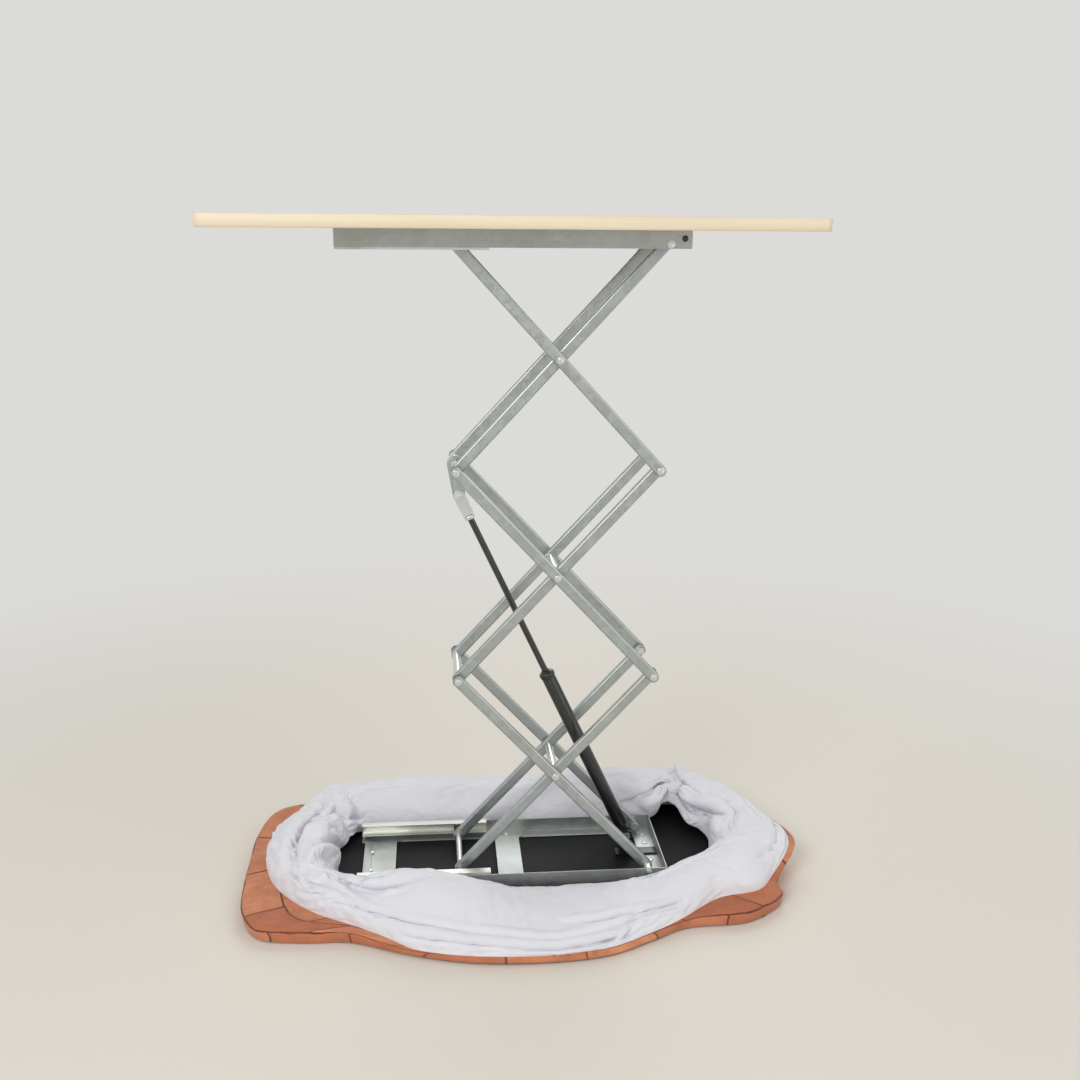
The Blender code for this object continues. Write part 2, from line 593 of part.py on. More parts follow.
def cloth_cover(base):
    """The cover let down in a rolled ring, with the long rolls and gathers that its cloth falls into."""
    steps = (BOARD_CORNER_STEPS, COVER_LONG_STEPS, COVER_SHORT_STEPS)
    half_x, half_y = BASE_LENGTH / 2 + SEAT, BASE_DEPTH / 2 + SEAT
    edge = rounded_rectangle(-half_x, half_x, -half_y, half_y, BASE_CORNER + SEAT, *steps)
    side = RAIL_FAR + COVER_SIDE_GAP
    inner = rounded_rectangle(RAIL_LEFT - COVER_LEFT_GAP, RAIL_RIGHT + COVER_RIGHT_GAP, -side, side,
                              COVER_INNER_CORNER, *steps)
    sections = []
    for index, (outer_point, inner_point) in enumerate(zip(edge, inner)):
        angle = atan2(outer_point.y, outer_point.x)
        section = cover_section(outer_point, inner_point, angle, index / len(edge) * tau)
        sections.append([(*point, z) for point, z in section])
    add("fabric_cover", ring_solid(sections), base, "cloth", smooth=True)


def main():
    for leftover in list(bpy.data.objects):
        bpy.data.objects.remove(leftover)

    left = [Vector((SLIDER_X, 0.0, z)) for z in LEVELS]
    right = [Vector((FIXED_PIVOT_X, 0.0, z)) for z in LEVELS]
    centre = [Vector((CENTRE_X, 0.0, (a + b) / 2)) for a, b in zip(LEVELS, LEVELS[1:])]

    base = carrier("base", (0.0, 0.0, 0.0))
    low_outer = carrier("low_outer", right[0])
    low_inner = carrier("low_inner", centre[0])
    mid_outer = carrier("mid_outer", right[1])
    mid_inner = carrier("mid_inner", centre[1])
    high_outer = carrier("high_outer", right[2])
    high_inner = carrier("high_inner", centre[2])
    top = carrier("top", right[3])

    board("base_board", BASE_LENGTH, BASE_DEPTH, BASE_CORNER, 0.0, BASE_THICKNESS, base, "black_board")
    steel_frame("base", BASE_THICKNESS, 1, base)
    board("table_top", TOP_LENGTH, TOP_DEPTH, TOP_CORNER, TOP_UNDERSIDE, TOP_THICKNESS, top, "wood")
    steel_frame("top", TOP_UNDERSIDE, -1, top)

    mesh = arm_mesh()
    mesh.materials.clear()
    mesh.materials.append(finish("galvanised"))
    arm_pair("low_outer", mesh, left[1], right[0], OUTER_NEAR, low_outer)
    arm_pair("low_inner", mesh, left[0], right[1], INNER_NEAR, low_inner)
    arm_pair("mid_outer", mesh, left[2], right[1], OUTER_NEAR, mid_outer)
    arm_pair("mid_inner", mesh, left[1], right[2], INNER_NEAR, mid_inner)
    arm_pair("high_outer", mesh, left[3], right[2], OUTER_NEAR, high_outer)
    arm_pair("high_inner", mesh, left[2], right[3], INNER_NEAR, high_inner)

    cross_shaft("lower_centre_shaft", centre[0], low_outer)
    cross_shaft("middle_centre_shaft", centre[1], mid_outer)
    cross_shaft("upper_centre_shaft", centre[2], high_outer)
    cross_shaft("lower_left_shaft", left[1], low_outer)
    cross_shaft("upper_left_shaft", left[2], mid_outer)
    node_rivets("lower_right_rivet", right[1], low_inner)
    node_rivets("upper_right_rivet", right[2], mid_inner)
    frame_pins("base_pivot_pin", right[0], OUTER_NEAR, OUTER_FAR, base)
    frame_pins("top_pivot_pin", right[3], INNER_NEAR, INNER_FAR, top)
    roller_set("lower", left[0], INNER_NEAR, INNER_FAR, low_inner, carrier("lower_rollers", left[0]))
    roller_set("upper", left[3], OUTER_NEAR, OUTER_FAR, high_outer, carrier("upper_rollers", left[3]))

    gas_strut(base, carrier("strut_cylinder", STRUT_FOOT), carrier("strut_rod", STRUT_FOOT), mid_outer)
    cloth_cover(base)


main()
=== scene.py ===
import json
from math import atan2, cos, pi, radians, sin, tau

import bmesh
import bpy
import numpy as np
from mathutils import Matrix, Vector, noise


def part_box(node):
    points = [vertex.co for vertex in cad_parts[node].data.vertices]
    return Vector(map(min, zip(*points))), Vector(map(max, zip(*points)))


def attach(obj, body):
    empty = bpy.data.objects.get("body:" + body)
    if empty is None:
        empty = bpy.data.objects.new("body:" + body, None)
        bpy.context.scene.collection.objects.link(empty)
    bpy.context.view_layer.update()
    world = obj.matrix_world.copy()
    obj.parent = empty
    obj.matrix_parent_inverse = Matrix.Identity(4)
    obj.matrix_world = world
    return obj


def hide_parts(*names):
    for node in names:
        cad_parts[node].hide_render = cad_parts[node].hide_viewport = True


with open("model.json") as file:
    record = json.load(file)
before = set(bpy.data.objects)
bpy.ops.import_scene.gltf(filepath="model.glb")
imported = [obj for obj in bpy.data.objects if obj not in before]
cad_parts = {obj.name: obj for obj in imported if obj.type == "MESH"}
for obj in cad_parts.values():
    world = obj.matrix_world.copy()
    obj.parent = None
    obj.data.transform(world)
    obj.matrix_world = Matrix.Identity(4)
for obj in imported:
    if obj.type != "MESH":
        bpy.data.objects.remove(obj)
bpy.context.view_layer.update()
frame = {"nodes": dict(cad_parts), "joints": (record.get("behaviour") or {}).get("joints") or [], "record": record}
nodes = frame["nodes"]
record = frame["record"]
scene = bpy.context.scene
slotOfNode = {part["node"]: part["material_slot"] for part in record["subparts"]}
bodyOfNode = {node: body for body, members in record["behaviour"]["bodies"].items() for node in members}
jointNamed = {joint["name"]: joint for joint in frame["joints"]}
mergeGap = 1e-6     # points closer than this become one
print("frame loaded,", len(nodes), "nodes")


# Shader tools: a Wire is a socket that takes part in Python sums, a Bench makes the nodes

class Wire:
    def __init__(self, bench, socket):
        self.bench = bench
        self.socket = socket

    def maths(self, operation, *others, swap=False, clamp=False):
        values = [self, *others]
        if swap:
            values.reverse()
        return self.bench.node("Math", {"operation": operation, "use_clamp": clamp}, dict(enumerate(values)))

    def __add__(self, other):
        return self.maths("ADD", other)

    def __sub__(self, other):
        return self.maths("SUBTRACT", other)

    def __rsub__(self, other):
        return self.maths("SUBTRACT", other, swap=True)

    def __mul__(self, other):
        return self.maths("MULTIPLY", other)

    __radd__ = __add__
    __rmul__ = __mul__

    def clipped(self):
        return self.maths("ADD", 0.0, clamp=True)

    def wave(self):
        return self.maths("SINE")

    def raised(self):     # from -1 to 1, into 0 to 1
        return self * 0.5 + 0.5

    def above(self, level, softness):     # 0 below the level, 1 above it, with a soft edge
        return ((self - level) * (1 / softness) + 0.5).clipped()

    def softened(self):     # 0 to 1 again, with slow ends
        return self * self * (3.0 - self * 2.0)


class Bench:
    def __init__(self, tree):
        self.tree = tree

    def node(self, kind, settings=None, inputs=None, output=0):
        made = self.tree.nodes.new("ShaderNode" + kind)
        for key, value in (settings or {}).items():
            setattr(made, key, value)
        for key, value in (inputs or {}).items():
            self.plug(made.inputs[key], value)
        return Wire(self, made.outputs[output])

    def plug(self, socket, value):
        if isinstance(value, Wire):
            self.tree.links.new(value.socket, socket)
        else:
            socket.default_value = value

    def mix(self, share, first, second, blend="MIX"):
        settings = {"data_type": "RGBA", "blend_type": blend}
        return self.node("Mix", settings, {0: share, 6: first, 7: second}, output=2)

    def stretched(self, where, scale):
        return self.node("Mapping", inputs={"Vector": where, "Scale": scale})

    def place(self, scale=(1, 1, 1), turn=0.0):     # turn is about Y, before the scale
        here = self.node("TexCoord", output="Object")
        if turn:
            here = self.node("Mapping", inputs={"Vector": here, "Rotation": (0, turn, 0)})
        return self.stretched(here, scale)

    def flat(self):     # the piece's own flat measure
        return self.node("TexCoord", output="UV")

    def along(self, where, axis):
        return self.node("SeparateXYZ", inputs={0: where}, output=axis)

    def noise(self, where, scale=1.0, detail=3.0, rough=0.5):
        inputs = {"Vector": where, "Scale": scale, "Detail": detail, "Roughness": rough}
        return self.node("TexNoise", inputs=inputs)

    def bump(self, height, depth, strength):
        return self.node("Bump", inputs={"Height": height, "Distance": depth, "Strength": strength})


def rgb(red, green, blue):
    return red, green, blue, 1.0


def newFinish(name):
    material = bpy.data.materials.new(name)
    material.use_nodes = True
    return material, Bench(material.node_tree)


def coat(material, bench, **sockets):     # socket names with their spaces left out
    shader = material.node_tree.nodes["Principled BSDF"]
    for socket in shader.inputs:
        key = socket.name.replace(" ", "")
        if key in sockets:
            bench.plug(socket, sockets[key])
    return material


# Finishes: colours, the patterns' scales, and each pattern's share in tone, roughness and relief

galvanisedLook = {
    "dark": rgb(0.325, 0.35, 0.345), "light": rgb(0.58, 0.615, 0.60),
    # the last colour on the next line is a pale cream painted highlight, mixed in by lift
    "stain": rgb(0.36, 0.36, 0.31), "bright": rgb(0.80, 0.80, 0.74),
    "spangleSize": 0.0075, "streakLength": 0.11, "streakWidth": 0.0016, "streaks": {"detail": 4.0},
    "clouds": {"scale": 14.0, "detail": 4.0}, "grit": {"scale": 1400.0, "detail": 2.0},
    "toneShift": 0.06, "spangleTone": 0.25, "streakTone": 0.60, "cloudTone": 0.28,
    "stainEdge": {"level": 0.60, "softness": 0.16}, "stainShare": 0.45,
    "metallic": 0.92, "rough": 0.30, "spangleRough": 0.10, "gritRough": 0.06, "cloudRough": 0.12,
    "spangleRelief": 0.15, "streakRelief": 0.6, "gritRelief": 0.04,
    "bump": {"depth": 0.00012, "strength": 0.5},
}


def galvanised(name, lean=0.0, lift=0.0):     # lean turns the streaks along a tube, lift mixes in the pale cream of a painted highlight
    material, bench = newFinish(name)
    look = galvanisedLook
    here = bench.place()
    cells = {"Vector": here, "Scale": 1 / look["spangleSize"]}
    spangle = bench.node("SeparateColor", inputs={0: bench.node("TexVoronoi", inputs=cells, output="Color")})
    alongTube = (1 / look["streakLength"], 1 / look["streakWidth"], 1 / look["streakWidth"])
    streaks = bench.noise(bench.place(alongTube, lean), **look["streaks"])
    clouds = bench.noise(here, **look["clouds"])
    grit = bench.noise(here, **look["grit"])
    tone = spangle * look["spangleTone"] + streaks * look["streakTone"] + clouds * look["cloudTone"]
    colour = bench.mix((tone - look["toneShift"]).clipped(), look["dark"], look["light"])
    # painted highlight: lift mixes the colour towards pale cream, standing in for the light along a slide's lip
    if lift:
        colour = bench.mix(lift, colour, look["bright"])
    colour = bench.mix(clouds.above(**look["stainEdge"]) * look["stainShare"], colour, look["stain"])
    rough = spangle * look["spangleRough"] + grit * look["gritRough"] + clouds * look["cloudRough"]
    relief = spangle * look["spangleRelief"] + streaks * look["streakRelief"] + grit * look["gritRelief"]
    return coat(material, bench, BaseColor=colour, Metallic=look["metallic"], Roughness=look["rough"] + rough,
                Normal=bench.bump(relief, **look["bump"]))


zincLook = {
    "dark": rgb(0.60, 0.61, 0.60), "light": rgb(0.84, 0.85, 0.83),
    "clouds": {"scale": 90.0, "detail": 4.0}, "grit": {"scale": 1800.0, "detail": 2.0},
    "metallic": 1.0, "rough": 0.20, "cloudRough": 0.12, "gritRough": 0.10,
    "bump": {"depth": 0.00008, "strength": 0.5},
}


def zincPlate():
    material, bench = newFinish("zincPlate")
    look = zincLook
    here = bench.place()
    clouds = bench.noise(here, **look["clouds"])
    grit = bench.noise(here, **look["grit"])
    colour = bench.mix(clouds, look["dark"], look["light"])
    rough = look["rough"] + clouds * look["cloudRough"] + grit * look["gritRough"]
    return coat(material, bench, BaseColor=colour, Metallic=look["metallic"], Roughness=rough,
                Normal=bench.bump(grit + clouds, **look["bump"]))


woodLook = {
    "dark": rgb(0.78, 0.635, 0.43), "light": rgb(0.90, 0.815, 0.655), "pore": rgb(0.60, 0.44, 0.26),
    "bands": 46.0, "layers": 120.0, "swayTurns": 17.0, "swayScale": (1.6, 5.0, 5.0), "sway": {"detail": 2.0},
    "fibreScale": (7.0, 520.0, 520.0), "fibres": {"detail": 4.0, "rough": 0.65},
    "poreScale": (26.0, 900.0, 900.0), "pores": {"detail": 1.0}, "clouds": {"scale": 5.0, "detail": 3.0},
    "toneShift": 0.12, "figureTone": 0.30, "fibreTone": 0.62, "cloudTone": 0.26,
    "poreEdge": {"level": 0.68, "softness": 0.08}, "poreShare": 0.22, "rough": 0.46, "fibreRough": 0.14,
    "fibreRelief": 0.7, "poreRelief": 0.3, "bump": {"depth": 0.00010, "strength": 0.45},
}


def paleWood():
    material, bench = newFinish("paleWood")
    look = woodLook
    here = bench.place()
    sway = bench.noise(bench.place(look["swayScale"]), **look["sway"])
    bands = bench.along(here, "Y") * look["bands"] + bench.along(here, "Z") * look["layers"]
    figure = (bands + sway * look["swayTurns"]).wave().raised()
    fibres = bench.noise(bench.place(look["fibreScale"]), **look["fibres"])
    pores = bench.noise(bench.place(look["poreScale"]), **look["pores"])
    clouds = bench.noise(here, **look["clouds"])
    tone = figure * look["figureTone"] + fibres * look["fibreTone"] + clouds * look["cloudTone"]
    colour = bench.mix((tone - look["toneShift"]).clipped(), look["dark"], look["light"])
    colour = bench.mix(pores.above(**look["poreEdge"]) * look["poreShare"], colour, look["pore"])
    relief = fibres * look["fibreRelief"] + pores * look["poreRelief"]
    return coat(material, bench, BaseColor=colour, Roughness=look["rough"] + fibres * look["fibreRough"],
                Normal=bench.bump(relief, **look["bump"]))


boardLook = {
    "black": rgb(0.007, 0.007, 0.009), "dusty": rgb(0.040, 0.038, 0.036),
    "pebble": {"scale": 1100.0, "detail": 2.0}, "dust": {"scale": 260.0, "detail": 4.0, "rough": 0.7},
    "clouds": {"scale": 12.0, "detail": 3.0}, "dustEdge": {"level": 0.66, "softness": 0.10}, "dustShare": 0.5,
    "rough": 0.50, "cloudRough": 0.16, "dustRough": 0.10, "specular": 0.22,
    "bump": {"depth": 0.00015, "strength": 0.5},
}


def blackBoard():
    material, bench = newFinish("blackBoard")
    look = boardLook
    here = bench.place()
    pebble = bench.noise(here, **look["pebble"])
    dust = bench.noise(here, **look["dust"])
    clouds = bench.noise(here, **look["clouds"])
    colour = bench.mix(dust.above(**look["dustEdge"]) * look["dustShare"], look["black"], look["dusty"])
    rough = look["rough"] + clouds * look["cloudRough"] + dust * look["dustRough"]
    return coat(material, bench, BaseColor=colour, Roughness=rough, SpecularIORLevel=look["specular"],
                Normal=bench.bump(pebble, **look["bump"]))


enamelLook = {
    "peel": {"scale": 420.0, "detail": 2.0}, "clouds": {"scale": 30.0, "detail": 3.0},
    "worn": (1.8, 1.75, 1.8), "cloudRough": 0.14, "coat": 0.35, "bump": {"depth": 0.00006, "strength": 0.4},
}


def blackEnamel(name, tint, shine):
    material, bench = newFinish(name)
    look = enamelLook
    here = bench.place()
    peel = bench.noise(here, **look["peel"])
    clouds = bench.noise(here, **look["clouds"])
    colour = bench.mix(clouds, rgb(tint, tint, tint), rgb(*(tint * share for share in look["worn"])))
    return coat(material, bench, BaseColor=colour, Roughness=shine + clouds * look["cloudRough"],
                CoatWeight=look["coat"], Normal=bench.bump(peel, **look["bump"]))


nylonLook = {
    "dark": rgb(0.030, 0.030, 0.031), "light": rgb(0.062, 0.062, 0.064),
    "grain": {"scale": 900.0, "detail": 3.0}, "rough": 0.45, "grainRough": 0.15,
    "bump": {"depth": 0.0001, "strength": 0.5},
}


def darkNylon():
    material, bench = newFinish("darkNylon")
    look = nylonLook
    grain = bench.noise(bench.place(), **look["grain"])
    colour = bench.mix(grain, look["dark"], look["light"])
    return coat(material, bench, BaseColor=colour, Roughness=look["rough"] + grain * look["grainRough"],
                Normal=bench.bump(grain, **look["bump"]))


threadWidth = 0.0011


def weave(bench):     # the height of a plain weave, on the cloth's own flat measure
    flat = bench.flat()
    turns = tau / threadWidth
    across = (bench.along(flat, "X") * turns).wave()
    upwards = (bench.along(flat, "Y") * turns).wave()
    return (across * upwards).raised()


liningLook = {
    "lilac": rgb(0.775, 0.775, 0.845), "white": rgb(0.865, 0.865, 0.905),
    "slubScale": (40.0, 900.0, 1.0), "slub": {"detail": 2.0},
    "cloudScale": (6.0, 14.0, 1.0), "clouds": {"detail": 4.0},
    "toneShift": 0.05, "cloudTone": 0.8, "slubTone": 0.3, "rough": 0.78, "threadRough": 0.12, "sheen": 0.20,
    "threadRelief": 0.6, "slubRelief": 0.4, "bump": {"depth": 0.00022, "strength": 0.45},
}


def liningCloth():
    material, bench = newFinish("liningCloth")
    look = liningLook
    flat = bench.flat()
    slub = bench.noise(bench.stretched(flat, look["slubScale"]), **look["slub"])
    clouds = bench.noise(bench.stretched(flat, look["cloudScale"]), **look["clouds"])
    threads = weave(bench)
    tone = clouds * look["cloudTone"] + slub * look["slubTone"] - look["toneShift"]
    colour = bench.mix(tone.clipped(), look["lilac"], look["white"])
    relief = threads * look["threadRelief"] + slub * look["slubRelief"]
    return coat(material, bench, BaseColor=colour, Roughness=look["rough"] + threads * look["threadRough"],
                SheenWeight=look["sheen"], Normal=bench.bump(relief, **look["bump"]))


printLook = {
    "clay": rgb(0.47, 0.125, 0.052), "sand": rgb(0.72, 0.30, 0.145), "soot": rgb(0.30, 0.062, 0.028),
    "joint": rgb(0.14, 0.026, 0.014), "jointWidth": 0.0020, "jointSoftness": 0.4,
    "block": 0.108, "course": 0.056, "bond": 0.5, "shift": (0.0, 0.034, 0.0),
    "wobble": {"scale": 22.0, "detail": 3.0}, "wobbleReach": 0.010,
    "stain": {"scale": 34.0, "detail": 5.0, "rough": 0.62},
    "sootEdge": {"level": 0.56, "softness": 0.30}, "sootShare": 0.55,
    "sandEdge": {"level": 0.48, "softness": 0.24}, "sandShare": 0.18,
    "rough": 0.70, "threadRough": 0.12, "sheen": 0.15, "bump": {"depth": 0.0002, "strength": 0.4},
}


def printedCloth():     # plain courses of clay blocks, with joints that waver a little
    material, bench = newFinish("printedCloth")
    look = printLook
    flat = bench.flat()
    wobble = bench.noise(flat, **look["wobble"]) * look["wobbleReach"]
    waver = bench.node("CombineXYZ", inputs={0: wobble, 1: wobble})
    moved = bench.node("Mapping", inputs={"Vector": flat, "Location": look["shift"]})
    bent = bench.node("VectorMath", {"operation": "ADD"}, {0: moved, 1: waver})
    blocks = bench.node("TexBrick", {"offset": look["bond"]}, {
        "Vector": bent, "Scale": 1.0, "Color1": look["clay"], "Color2": look["sand"], "Mortar": look["joint"],
        "Mortar Size": look["jointWidth"], "Mortar Smooth": look["jointSoftness"],
        "Brick Width": look["block"], "Row Height": look["course"]})
    stain = bench.noise(flat, **look["stain"])
    threads = weave(bench)
    colour = bench.mix(stain.above(**look["sootEdge"]) * look["sootShare"], blocks, look["soot"], "MULTIPLY")
    colour = bench.mix(stain.above(**look["sandEdge"]) * look["sandShare"], colour, look["sand"])
    return coat(material, bench, BaseColor=colour, Roughness=look["rough"] + threads * look["threadRough"],
                SheenWeight=look["sheen"], Normal=bench.bump(threads, **look["bump"]))


def leanOfArms():     # at rest, from the fixed pivot and the middle of the lowest stage
    fixed = Vector(jointNamed["lift_fold"]["pos_m"])
    middle = Vector(jointNamed["low_scissor"]["pos_m"])
    return atan2(middle.z - fixed.z, fixed.x - middle.x)


finishes = {
    "galvanised": galvanised("galvanisedSheet"),
    "risingSteel": galvanised("galvanisedRisingTube", lean=leanOfArms()),
    "fallingSteel": galvanised("galvanisedFallingTube", lean=-leanOfArms()),
    # the slides get a painted highlight: most of their colour is a pale cream standing in for the light on their
    # lips
    "slideSteel": galvanised("slidePaintedHighlight", lift=0.85),
    "zinc": zincPlate(),
    "wood_top": paleWood(),
    "black_board": blackBoard(),
    "black_paint": blackEnamel("blackEnamel", tint=0.009, shine=0.24),
    "rod": blackEnamel("blackenedRod", tint=0.016, shine=0.18),
    "nylon": darkNylon(),
    "lining": liningCloth(),
    "print": printedCloth(),
}
print("finishes made:", len(finishes))


# Pieces carried over from the frame: merged copies with eased edges

easing = {"wood_top": 0.0008, "black_board": 0.0008, "galvanised": 0.00035, "zinc": 0.0003,
          "black_paint": 0.0005, "nylon": 0.0004, "segments": 2, "sharp": radians(50), "level": radians(0.4)}

finishByName = {"strut_rod": "rod", "strut_lug": "galvanised", "_slide": "slideSteel",
                "_inner_arm": "risingSteel", "_outer_arm": "fallingSteel"}


def finishOf(node):
    special = (finish for part, finish in finishByName.items() if part in node)
    return finishes[next(special, slotOfNode[node])]


def newPiece(name, shape):
    mesh = bpy.data.meshes.new(name)
    shape.to_mesh(mesh)
    shape.free()
    piece = bpy.data.objects.new(name, mesh)
    scene.collection.objects.link(piece)
    return piece


def showMesh(name, shape, materials, body, sharpEdges=True):
    piece = newPiece(name, shape)
    for material in materials:
        piece.data.materials.append(material)
    piece.data.shade_smooth()
    if sharpEdges:
        piece.data.set_sharp_from_angle(angle=easing["sharp"])
    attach(piece, body)
    return piece


def finishNode(node):
    shape = bmesh.new()
    shape.from_mesh(nodes[node].data)
    bmesh.ops.remove_doubles(shape, verts=shape.verts, dist=mergeGap)
    bmesh.ops.dissolve_limit(shape, angle_limit=easing["level"], verts=shape.verts, edges=shape.edges)
    for face in shape.faces:
        face.material_index = 0
    piece = showMesh("finished_" + node, shape, [finishOf(node)], bodyOfNode[node])
    ease = piece.modifiers.new("easedEdges", "BEVEL")
    ease.width = easing[slotOfNode[node]]
    ease.segments = easing["segments"]
    ease.limit_method = "ANGLE"
    ease.angle_limit = easing["sharp"]
    ease.harden_normals = True
    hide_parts(node)


for nodeName in nodes:
    if nodeName != "fabric_cover":
        finishNode(nodeName)
print("frame pieces finished")


# Small fasteners

rivetLook = {"radius": 0.0036, "height": 0.0017, "sides": 16, "brim": 0.3, "capSteps": 5,
             "leftInset": 0.0115, "rightInset": 0.0145, "near": 0.026, "far": 0.050, "rail": 0.069}
screwLook = {"radius": 0.0040, "inset": 0.0095, "lift": 0.0012}


def addTurned(shape, profile, sides, place):     # profile of (radius, height) about local Z
    earlier = set(shape.verts)
    verts = [shape.verts.new((radius, 0.0, height)) for radius, height in profile]
    edges = [shape.edges.new(pair) for pair in zip(verts, verts[1:])]
    bmesh.ops.spin(shape, geom=verts + edges, axis=(0, 0, 1), angle=tau, steps=sides, use_merge=True)
    fresh = [vert for vert in shape.verts if vert not in earlier]
    bmesh.ops.transform(shape, matrix=place, verts=fresh)
    bmesh.ops.remove_doubles(shape, verts=fresh, dist=mergeGap)


def standing(point, up):
    return Matrix.Translation(point) @ Vector(up).to_track_quat("Z", "Y").to_matrix().to_4x4()


def domeProfile(radius, height):     # a flat underside, a short brim, then a round cap
    brim, steps = rivetLook["brim"], rivetLook["capSteps"]
    turns = [step / steps * pi / 2 for step in range(steps)]
    cap = [(radius * cos(turn), height * (brim + (1 - brim) * sin(turn))) for turn in turns]
    return [(0.0, 0.0), (radius, 0.0), *cap, (0.0, height)]


def addDome(shape, radius, point, up):
    addTurned(shape, domeProfile(radius, rivetLook["height"]), rivetLook["sides"], standing(point, up))


def frameRivets(part, up):     # through the cross plates of one frame, on the side that looks inwards
    look = rivetLook
    near, far, rail = look["near"], look["far"], look["rail"]
    left, middle, right = (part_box(f"{part}_{plate}_plate") for plate in ("left", "middle", "right"))
    facing = 1 if up > 0 else 0     # the upper or the lower corner of a box
    spots = [(left[0].x + look["leftInset"], y, left[facing].z) for y in (-near, near)]
    spots += [(right[1].x - look["rightInset"], y, middle[facing].z) for y in (-far, -near, near, far)]
    spots += [((middle[0].x + middle[1].x) / 2, y, middle[facing].z) for y in (-rail, rail)]
    shape = bmesh.new()
    for spot in spots:
        addDome(shape, look["radius"], spot, (0, 0, up))
    bmesh.ops.recalc_face_normals(shape, faces=shape.faces)
    showMesh(part + "FrameRivets", shape, [finishes["zinc"]], part)


def railScrews():     # blackened screws through the ends of the upper rails
    look = screwLook
    shape = bmesh.new()
    for rail, side in (("top_front_rail", -1), ("top_rear_rail", 1)):
        low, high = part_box(rail)
        face = low.y if side < 0 else high.y
        spot = (high.x - look["inset"], face, (low.z + high.z) / 2 + look["lift"])
        addDome(shape, look["radius"], spot, (0, side, 0))
    bmesh.ops.recalc_face_normals(shape, faces=shape.faces)
    showMesh("railScrews", shape, [finishes["black_paint"]], "top")


frameRivets("base", 1)
frameRivets("top", -1)
railScrews()

strutLook = {
    # The collar's section: radius, and height above the end of the cylinder
    "collar": ((0.0101, -0.009), (0.0112, -0.007), (0.0112, -0.002), (0.0102, -0.0008),
               (0.0076, 0.0004), (0.0066, 0.0022), (0.0049, 0.0026), (0.0049, -0.001)),
    "collarSides": 28, "nut": 0.0075, "nutHeight": 0.0055, "nutSides": 6, "nutEase": 0.0006, "nutGap": 0.0004,
}


def strutEnd(node, below=0.0):     # the place at the upper end of a piece of the strut, or below it
    heading = -Vector(jointNamed["strut_stroke"]["axis"])
    foot = Vector(jointNamed["strut_swing"]["pos_m"])
    reach = max((vert.co - foot).dot(heading) for vert in nodes[node].data.vertices)
    return standing(foot + heading * (reach - below), heading)


def strutCollar():
    section = strutLook["collar"]
    shape = bmesh.new()
    addTurned(shape, [*section, section[0]], strutLook["collarSides"], strutEnd("strut_cylinder"))
    bmesh.ops.recalc_face_normals(shape, faces=shape.faces)
    showMesh("strutCollar", shape, [finishes["black_paint"]], "strut_cylinder")


def strutLockNut():
    nut, height, sides = strutLook["nut"], strutLook["nutHeight"], strutLook["nutSides"]
    shape = bmesh.new()
    bmesh.ops.create_cone(shape, cap_ends=True, segments=sides, radius1=nut, radius2=nut, depth=height)
    bmesh.ops.bevel(shape, geom=shape.edges[:], offset=strutLook["nutEase"], segments=2, profile=0.5,
                    affect="EDGES", material=-1)
    seat = strutEnd("strut_rod", below=height / 2 + strutLook["nutGap"])
    bmesh.ops.transform(shape, matrix=seat, verts=shape.verts)
    showMesh("strutLockNut", shape, [finishes["zinc"]], "strut_rod")


strutCollar()
strutLockNut()
print("fasteners placed")


# Cloth cover, let down round the base: the print shows at the hem, the lining over the roll

